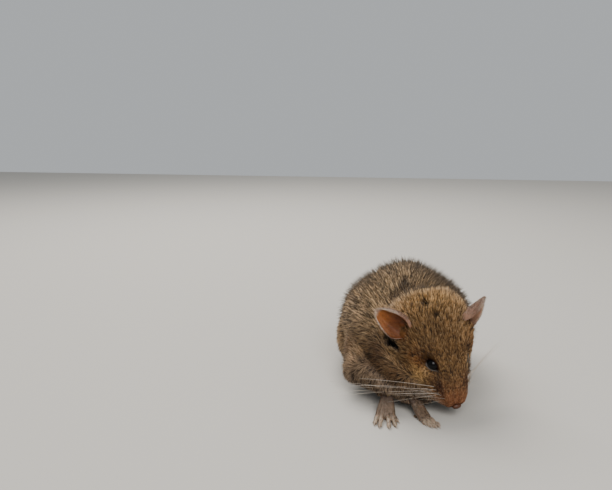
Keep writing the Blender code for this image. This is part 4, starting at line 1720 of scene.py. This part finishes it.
    def _dressed(
        self, obj: bpy.types.Object, across: np.ndarray, up: np.ndarray, is_front: np.ndarray
    ) -> None:
        """Stores the ear's markings and the plan of its down.

        Args:
            obj: the ear.
            across: each vertex across.
            up: and up.
            is_front: whether it is inside the bowl.
        """
        names = (self.glow, self.deep, self.outer, self.fold, self.rim, self.hair)
        glow, deep, outer, fold, pale, hair = (np.array(linear(name)) for name in names)
        # Inside, painted light shining through near the tip fades to painted shade in the bowl and at the
        # root.
        bowl = np.clip(1.3 * near(np.stack((across, up), 1), (0.0, 0.26), (1.1, 0.36)), 0, 1)
        inside = glow + (deep - glow) * np.maximum(bowl, 1 - rise(up, 0.15, 0.55))[:, None]
        turned_edge = rise(across * self.side.value, 0.3, 0.75) * (1 - rise(up, 0.45, 0.8))
        outside = outer + (fold - outer) * turned_edge[:, None]
        colour = np.where(is_front[:, None], inside, outside)
        # the pale edge and tip, partly a painted highlight
        rim = np.clip(rise(np.abs(across), 0.8, 1.0) + rise(up, 0.86, 1.0), 0, 1)
        colour = colour + (pale - colour) * (0.7 * rim * rise(up, 0.3, 0.7))[:, None]
        share = np.where(is_front, 0.15 + 0.9 * rim, 1.0) * rise(up, 0.1, 0.3)
        axis = np.array(self.place().to_3x3() @ Vector((0.0, 0.0, 1.0)))
        paleness = np.where(is_front, 0.55 * rim, 0.55)[:, None]
        self.down.carried_by(obj, np.tile(axis, (len(up), 1)), share, colour + (hair - colour) * paleness)
        obj.data.attributes["marking"].data.foreach_set("color", colour.ravel())


EARS = (
    Ear(Side.RIGHT, (0.72, 0.05, 0.69), (0.35, 0.80, -0.45), 9.1, 22.7, 10.4),
    # the left ear has its own, greyer painted glow and bowl shade
    Ear(Side.LEFT, (0.95, 0.06, 0.34), (0.70, 0.50, -0.45), 10.6, 21.4, 9.4, glow="946E56", deep="684634"),
)


# ---- feet -------------------------------------------------------------------------------------


@dataclass(frozen=True)
class Digit:
    """A toe: where it starts across the foot, its heading off the foot's own, and its length."""

    across: float
    heading: float
    length: float


FORE_DIGITS_SPREAD = (
    Digit(-1.9, -6.0, 3.3),
    Digit(-0.85, -2.0, 4.3),
    Digit(0.55, 8.0, 4.3),
    Digit(1.5, 18.0, 3.4),
    Digit(1.9, 40.0, 1.3),
)
FORE_DIGITS_CLOSED = (
    Digit(-1.25, -6.0, 1.8),
    Digit(-0.8, -2.0, 3.3),
    Digit(-0.12, 0.0, 4.1),
    Digit(0.56, 2.0, 4.2),
    Digit(1.2, 5.0, 3.2),
)
HIND_DIGITS = (
    Digit(-1.5, -16.0, 3.0),
    Digit(-0.95, -6.0, 4.6),
    Digit(0.0, 0.0, 4.9),
    Digit(0.95, 7.0, 4.5),
    Digit(1.45, 20.0, 2.6),
)


def mirrored(digits: Sequence[Digit]) -> tuple[Digit, ...]:
    """The same toes on the other foot."""
    return tuple(Digit(-d.across, -d.heading, d.length) for d in reversed(digits))


@dataclass(frozen=True)
class Foot:
    """A foot that lies on the floor from its ankle or wrist to its toes."""

    name: str
    ankle: tuple[float, float, float]
    heading: float  # degrees from -Y towards +X
    sole_length: float
    ankle_half_width: float
    knuckle_half_width: float
    thickness: float
    digit_radius: float
    claw_length: float
    digits: tuple[Digit, ...]
    heel: float = 1.4  # how far its back end lies behind the ankle
    leg: tuple[float, float, float] = (0.0, 1.6, 2.2)  # the way from there up into the leg
    voxel: float = 0.13
    skin: str = "725D4B"
    toes: str = "A08C78"
    shank: str = "54443A"
    hair: str = "70604C"
    down: Down = Down(0.6, 0.026, 34.0, 10.0)

    def _ways(self) -> tuple[np.ndarray, np.ndarray, np.ndarray]:
        """The way that the foot points, the way across it, and the middle of its knuckles.

        Returns:
            The three.
        """
        turn = math.radians(self.heading)
        ahead = np.array((math.sin(turn), -math.cos(turn), 0.0))
        across = np.array((-ahead[1], ahead[0], 0.0))
        knuckles = np.array(self.ankle) + ahead * self.sole_length
        knuckles[2] = self.thickness - 0.2
        return ahead, across, knuckles

    def _toe(self, digit: Digit) -> tuple[np.ndarray, np.ndarray]:
        """A toe's way and its root at the knuckles.

        Args:
            digit: the toe.

        Returns:
            Both.
        """
        _, across, knuckles = self._ways()
        turn = math.radians(self.heading + digit.heading)
        return np.array((math.sin(turn), -math.cos(turn), 0.0)), knuckles + across * digit.across

    def build(self) -> bpy.types.Object:
        """The foot's skin: sole, pads and jointed toes, flat on the floor.

        Returns:
            The piece.
        """
        ahead, across, knuckles = self._ways()
        shapes = []
        heel = np.array(self.ankle) - ahead * self.heel
        up_leg = heel + np.array(self.leg)
        for side in (-1.0, -0.5, 0.0, 0.5, 1.0):  # tubes side by side make the sole
            start = heel + across * side * self.ankle_half_width * 0.4
            end = knuckles + across * side * (self.knuckle_half_width - 0.75)
            middle = start + (end - start) * 0.62
            middle[2] = end[2] + (start[2] - end[2]) * 0.3
            wide = self.ankle_half_width * 0.78
            narrow = 0.78
            marks = (*up_leg, wide * 0.9), (*start, wide), (*middle, narrow * 1.12), (*end, narrow)
            shapes.append(tube(smooth_rows(marks, 5), 16))
        for digit in self.digits:
            shapes += self._toe_shapes(digit)
        for side in (-1, 0, 1):  # two rows of pads
            pad = knuckles + across * side * self.knuckle_half_width * 0.6 - ahead * (0.1 if side else -0.25)
            shapes.append(self._pad(pad, 0.62))
            shapes.append(self._pad(pad - ahead * 1.9, 0.55))
        points, faces = joined(shapes)
        foot = melted(placed(f"{self.name}_skin", points, faces), self.voxel, 3)
        points = points_of(foot)
        points[:, 2] = np.maximum(points[:, 2], 0.0)
        move_points(foot, points)
        self._dressed(foot, points)
        return foot

    def _pad(self, place: np.ndarray, radius: float) -> tuple[np.ndarray, list]:
        """A soft pad under the foot."""
        points, faces = sphere_grid(8, 12)
        return points * (radius, radius, 0.42) + (place[0], place[1], 0.36), faces

    def _toe_shapes(self, digit: Digit) -> list:
        """A toe with its knuckle, its waist and the pad at its tip.

        Args:
            digit: the toe.

        Returns:
            Points and faces of each.
        """
        way, root = self._toe(digit)
        radius = self.digit_radius
        floor = radius - 0.14
        marks = (  # share of the length, height, share of the radius
            (0.0, self.thickness - 0.25, 1.02),
            (0.3, floor + 0.46, 0.86),
            (0.52, floor + 0.40, 0.95),
            (0.74, floor + 0.14, 0.8),
            (1.0, floor + 0.02, 0.92),
        )
        rows = [(*(root + way * digit.length * far)[:2], high, radius * wide) for far, high, wide in marks]
        tip = root + way * digit.length * 0.93
        return [tube(smooth_rows(rows, 4), 14), self._pad(tip, radius * 0.82)]

    def claws(self) -> bpy.types.Object:
        """The claws: curved horn points out of the toes' tips, in one piece.

        Returns:
            The piece.
        """
        shapes = []
        for digit in self.digits:
            way, root = self._toe(digit)
            tip = root + way * (digit.length + self.digit_radius * 0.45)
            reach = self.claw_length + self.digit_radius * 0.5
            marks = ((0.0, 0.62, 0.24), (0.35, 0.62, 0.2), (0.7, 0.42, 0.12), (1.0, 0.1, 0.03))
            rows = [(*(tip + way * reach * share)[:2], height, wide) for share, height, wide in marks]
            shapes.append(tube(smooth_rows(rows, 4), 10, 2))
        points, faces = joined(shapes)
        points[:, 2] = np.maximum(points[:, 2], 0.0)
        return placed(f"claws_{self.name}", points, faces)

    def _dressed(self, foot: bpy.types.Object, points: np.ndarray) -> None:
        """Stores the foot's markings and the plan of its down.

        Args:
            foot: the foot.
            points: one row per point, in the animal's millimetres.
        """
        ahead, _, knuckles = self._ways()
        normals = normals_of(foot)
        along = (points - knuckles) @ ahead
        names = (self.skin, self.toes, self.shank, self.hair)
        skin, toes, shank, hair = (np.array(linear(name)) for name in names)
        colour = shank + (skin - shank) * rise(along, -self.sole_length, -1.0)[:, None]
        colour = colour + (toes - colour) * rise(along, 0.3, 2.0)[:, None]
        top = rise(normals[:, 2], -0.15, 0.3)
        share = top * (1 - 0.55 * rise(along, 1.0, 3.0))
        lie = np.tile(ahead - np.array((0.0, 0.0, 0.25)), (len(points), 1))
        self.down.carried_by(foot, lie, share, colour * 0.4 + hair * 0.6)
        foot.data.attributes["marking"].data.foreach_set("color", colour.ravel())


HIND_LEG = (0.0, 0.6, 0.4)
HIND_SIZES = (12.5, 1.6, 2.0, 1.2, 0.62, 1.1)  # from sole_length to claw_length
FEET = (
    Foot("forefoot_right", WRIST_RIGHT, -2.0, 4.4, 0.92, 2.45, 1.0, 0.57, 0.7, FORE_DIGITS_SPREAD),
    Foot("forefoot_left", WRIST_LEFT, 36.0, 4.5, 0.92, 1.65, 1.0, 0.36, 0.9, FORE_DIGITS_CLOSED),
    Foot("hindfoot_right", (-9.6, 17.5, 1.25), -8.0, *HIND_SIZES, HIND_DIGITS, leg=HIND_LEG),
    Foot("hindfoot_left", (9.6, 17.5, 1.25), 8.0, *HIND_SIZES, mirrored(HIND_DIGITS), leg=HIND_LEG),
)


# ---- tail, nose and whiskers ------------------------------------------------------------------


@dataclass(frozen=True)
class Tail:
    """The tail, laid on the floor behind the body in one tapering length."""

    base_radius: float = 1.9
    tip_radius: float = 0.45
    inset: float = 0.06  # how far its skin lies inside the tips of its hairs
    ring_height: float = 0.035  # of its rings of scales
    ring_length: float = 0.85
    around: int = 20
    upper: str = "54443A"
    lower: str = "9A8776"
    hair: str = "463A30"
    marks: tuple[tuple[float, float, float], ...] = (
        (0.0, 21.0, 7.5),
        (0.3, 26.0, 4.9),
        (1.6, 31.0, 2.7),
        (3.6, 37.0, 1.75),
        (6.0, 45.0, 1.5),
        (5.6, 54.0, 1.3),
        (0.0, 61.0, 1.12),
        (-8.0, 63.0, 0.92),
        (-15.0, 59.5, 0.74),
        (-19.0, 52.5, 0.56),
        (-19.4, 46.0, 0.38),
    )
    down: Down = Down(1.1, 0.03, 15.0, 12.0)

    def build(self) -> bpy.types.Object:
        """The tail's skin, ringed with fine scales, and the plan of its hairs.

        Returns:
            The piece.
        """
        route = smooth_rows(self.marks, 24)
        share = np.linspace(0, 1, len(route))
        radius = self.base_radius + (self.tip_radius - self.base_radius) * share**0.8
        reach = np.concatenate(([0.0], np.cumsum(np.linalg.norm(np.diff(route, axis=0), axis=1))))
        radius = radius - self.inset + self.ring_height * np.sin(reach * 2 * math.pi / self.ring_length)
        points, faces = tube(np.column_stack((route, radius)), self.around)
        points[:, 2] = np.maximum(points[:, 2], 0.0)
        tail = placed("tail", points, faces)
        normals = normals_of(tail)
        dark, pale, hair = (np.array(linear(name)) for name in (self.upper, self.lower, self.hair))
        colour = pale + (dark - pale) * rise(normals[:, 2], -0.25, 0.45)[:, None]
        way = unit(np.gradient(route, axis=0))
        ring = np.clip(np.arange(len(points)) // self.around - 3, 0, len(route) - 1)
        self.down.carried_by(tail, way[ring], rise(normals[:, 2], -0.35, 0.1), colour * 0.5 + hair * 0.5)
        tail.data.attributes["marking"].data.foreach_set("color", colour.ravel())
        return tail


@dataclass(frozen=True)
class Nose:
    """The bare pad at the tip of the muzzle, with its nostrils and cleft."""

    radii: tuple[float, float, float] = (1.2, 0.66, 0.78)
    # Hollows, each as deep as its share of the radius.
    nostrils: tuple[Form, ...] = (
        Form(0.34, (0.56, -0.74, -0.02), (0.2, 0.5, 0.15)),
        Form(0.24, (0.82, -0.48, 0.16), (0.18, 0.4, 0.12)),  # the slit at its outer corner
    )
    cleft: Form = Form(0.14, (0.0, -0.8, -0.5), (0.09, 0.9, 0.5))
    leather: str = "4A2A19"
    dark: str = "160A05"  # painted shade inside the nostrils and along the cleft

    def build(self) -> bpy.types.Object:
        """The pad, in the head's axes, with its markings.

        Returns:
            The piece.
        """
        ball, faces = sphere_grid(48, 64)
        ball = ball[:, (0, 2, 1)]
        inward = relief(ball, self.nostrils, (self.cleft,))
        points = ball * (1 - inward)[:, None] * np.array(self.radii) + np.array(NOSE_MIDDLE)
        nose = placed("nose_pad", turned(points, HEAD), faces)
        leather, dark = np.array(linear(self.leather)), np.array(linear(self.dark))
        # painted shade, darkest in the nostrils and the cleft
        colour = leather + (dark - leather) * np.clip(inward / 0.2, 0, 1)[:, None]
        carry(nose, "marking", "FLOAT_COLOR", colour)
        return nose


@dataclass(frozen=True)
class Whiskers:
    """Stiff hairs out of the muzzle's sides, in rows, each a little longer than the one before."""

    side: Side
    sweep: float  # how far they run back for each part sideways
    lean: float  # how far the lowest row runs up
    longest: float
    rows: int = 4
    columns: int = 5
    first: tuple[float, float, float] = (2.2, 2.5, -1.7)  # root of the foremost one of the lowest row
    apart: tuple[float, float, float] = (0.32, 0.8, 1.0)  # aside and back in a row, and up to the next
    fan: float = 0.14  # how much more each higher row runs up
    radius: float = 0.055

    def build(self) -> bpy.types.Object:
        """All the whiskers of one side in one piece.

        Returns:
            The piece.
        """
        rng = np.random.default_rng(70 + self.side.value)
        side = self.side.value
        shapes = []
        for row in range(self.rows):
            for column in range(self.columns):
                root = np.array(self.first) + np.array(self.apart) * (column, column, row)
                root[0] *= side
                share = (column + 1) / self.columns
                length = self.longest * (0.16 + 0.84 * share) * rng.uniform(0.8, 1.05) * (1 - 0.1 * row)
                way = np.array((side, self.sweep, self.lean + self.fan * row))
                way = unit(way + rng.normal(0, 0.12, 3))
                sag = np.array((0.0, -0.1, -0.45)) * length * rng.uniform(0.1, 0.35)
                steps = np.linspace(0, 1, 9)[:, None]
                line = root + way * length * steps + sag * steps**2
                thick = self.radius * (0.4 + 0.6 * share) * (1 - 0.65 * steps)
                shapes.append(tube(np.hstack((turned(line, HEAD), thick)), 4, 1))
        points, faces = joined(shapes)
        return placed(f"whiskers_{self.side.word}", points, faces)


WHISKERS = (Whiskers(Side.RIGHT, 0.3, -0.42, 31.0), Whiskers(Side.LEFT, 0.75, 0.15, 18.5))


# ---- the scene --------------------------------------------------------------------------------


@dataclass(frozen=True)
class SoftLight:
    """A square soft light that faces the animal, in the frame's metres."""

    name: str
    place: tuple[float, float, float]
    size: float
    power: float  # watts
    tint: tuple[float, float, float]
    aim: tuple[float, float, float] = (0.0, 0.0, 0.015)

    def build(self) -> None:
        """Sets the light."""
        data = bpy.data.lights.new(self.name, "AREA")
        data.size = self.size
        data.energy = self.power
        data.color = self.tint
        lamp = bpy.data.objects.new(self.name, data)
        lamp.location = self.place
        lamp.rotation_euler = (Vector(self.aim) - Vector(self.place)).to_track_quat("-Z", "Y").to_euler()
        bpy.context.scene.collection.objects.link(lamp)


@dataclass(frozen=True)
class Studio:
    """A pale floor, soft lights, and the camera."""

    floor: float = 1.2  # metres on a side
    sky: tuple[float, float, float, float] = (0.93, 0.97, 1.0, 1.0)
    sky_strength: float = 0.5
    lights: tuple[SoftLight, ...] = (
        SoftLight("sky_window", (-0.16, 0.22, 0.42), 0.35, 3.0, (1.0, 0.97, 0.93)),
        SoftLight("front_fill", (0.10, -0.40, 0.35), 0.28, 2.2, (1.0, 0.98, 0.95)),
    )
    eye: tuple[float, float, float] = (0.0, -167.4, 72.0)
    turn: float = 9.7  # to the mouse's right, in degrees
    bow: float = 11.7  # below the horizon
    lens: float = 35.3

    def build(self) -> None:
        """Sets the floor, the lights and the camera."""
        half = self.floor / 2
        corners = [(-half, -half, 0), (half, -half, 0), (half, half, 0), (-half, half, 0)]
        data = bpy.data.meshes.new("floor")
        data.from_pydata(corners, [], [(0, 1, 2, 3)])
        floor = object_of("floor", data)
        floor.data.materials.append(FLOOR_FINISH.build())
        world = bpy.data.worlds.new("soft_sky")
        world.use_nodes = True
        world.node_tree.nodes["Background"].inputs["Color"].default_value = self.sky
        world.node_tree.nodes["Background"].inputs["Strength"].default_value = self.sky_strength
        bpy.context.scene.world = world
        for light in self.lights:
            light.build()
        self._camera()

    def _camera(self) -> None:
        """The camera, level from side to side and bowed a little."""
        turn, bow = math.radians(self.turn), math.radians(self.bow)
        ahead = Vector((-math.sin(turn) * math.cos(bow), math.cos(turn) * math.cos(bow), -math.sin(bow)))
        data = bpy.data.cameras.new("view")
        data.lens = self.lens
        data.sensor_width = 36.0
        data.clip_start = 0.005
        camera = bpy.data.objects.new("view", data)
        camera.location = ROW @ Vector(self.eye)
        camera.rotation_euler = ahead.to_track_quat("-Z", "Y").to_euler()
        bpy.context.scene.collection.objects.link(camera)
        bpy.context.scene.camera = camera


def coat_grown(skin: bpy.types.Object, tree: CoatTree, fur: bpy.types.Material) -> None:
    """Grows the body's coat over the skin, part by part, and its guard hairs.

    Args:
        skin: the skin, which carries the plan.
        tree: what grows the tufts.
        fur: their finish.
    """
    tufts = tuft_collection("short_tufts", SHORT_TUFTS)
    hairs = tuft_collection("guard_tufts", FINE_TUFTS)
    share = 1.0
    even = {"Stray": 1.0, "Length": 1.0, "Lift": 1.0, "Girth": 1.0, "Finish": fur}
    for part in Part:
        fitted(
            tree.grow(
                skin, f"coat_{part.name.lower()}", Tufts=tufts, Kinds=len(SHORT_TUFTS), Part=part.value,
                Crowd="crowd", Density=share, Darkest=0.0, Palest=1.0, Seed=11 + 20 * part.value, **even,
            ),
        )
    long = {**even, "Stray": 0.5, "Length": 1.38, "Lift": 2.2, "Girth": 0.72}
    fitted(
        tree.grow(
            skin, "guard_hairs", Tufts=hairs, Kinds=len(FINE_TUFTS), Part=-1,
            Crowd="guard", Density=share, Darkest=0.0, Palest=0.25, Seed=905, **long,
        ),
    )


def down_grown(
    piece: bpy.types.Object, name: str, tree: CoatTree, fur: bpy.types.Material
) -> None:
    """Grows the short hair that a bare part carries the plan of.

    Args:
        piece: the bare part.
        name: the hair's name.
        tree: what grows it.
        fur: its finish.
    """
    hairs = bpy.data.collections.get("down_tufts") or tuft_collection("down_tufts", FINE_TUFTS)
    share = 1.0
    even = {"Stray": 0.35, "Length": 1.0, "Lift": 1.0, "Girth": 1.0, "Finish": fur}
    fitted(
        tree.grow(
            piece, name, Tufts=hairs, Kinds=len(FINE_TUFTS), Part=0,
            Crowd="crowd", Density=share, Darkest=0.22, Palest=0.9, Seed=31 + len(name), **even,
        ),
    )


def main() -> None:
    """Builds the mouse and its setting."""
    logging.basicConfig(level=logging.INFO, format="%(name)s %(message)s")
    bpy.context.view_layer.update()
    tree = CoatTree()
    fur = FurFinish().build()

    skin = Skin().build(EYES)
    coat_grown(skin, tree, fur)
    fitted(skin, FLESH, SKIN_FINISH.build())
    eye_finish = EYE_FINISH.build()
    for eye in EYES:
        fitted(eye.ball(), [f"eye_{eye.side.word}"], eye_finish)

    ear_finish = EAR_FINISH.build()
    for ear in EARS:
        piece = ear.build()
        down_grown(piece, f"down_{piece.name}", tree, fur)
        fitted(piece, [f"ear_{ear.side.word}"], ear_finish)

    foot_finish, claw_finish = FOOT_FINISH.build(), CLAW_FINISH.build()
    for foot in FEET:
        piece = foot.build()
        down_grown(piece, f"down_{foot.name}", tree, fur)
        fitted(piece, [foot.name], foot_finish)
        fitted(foot.claws(), (), claw_finish)

    tail = Tail().build()
    down_grown(tail, "down_tail", tree, fur)
    fitted(tail, ["tail_root", "tail_middle", "tail_tip"], TAIL_FINISH.build())
    fitted(Nose().build(), ["nose"], NOSE_FINISH.build())
    whisker_finish = WHISKER_FINISH.build()
    for whiskers in WHISKERS:
        solids = [f"whisker_{whiskers.side.word}_{row}" for row in (0, 2, 3)]
        fitted(whiskers.build(), solids, whisker_finish)
    Studio().build()


if __name__ == "__main__":
    main()
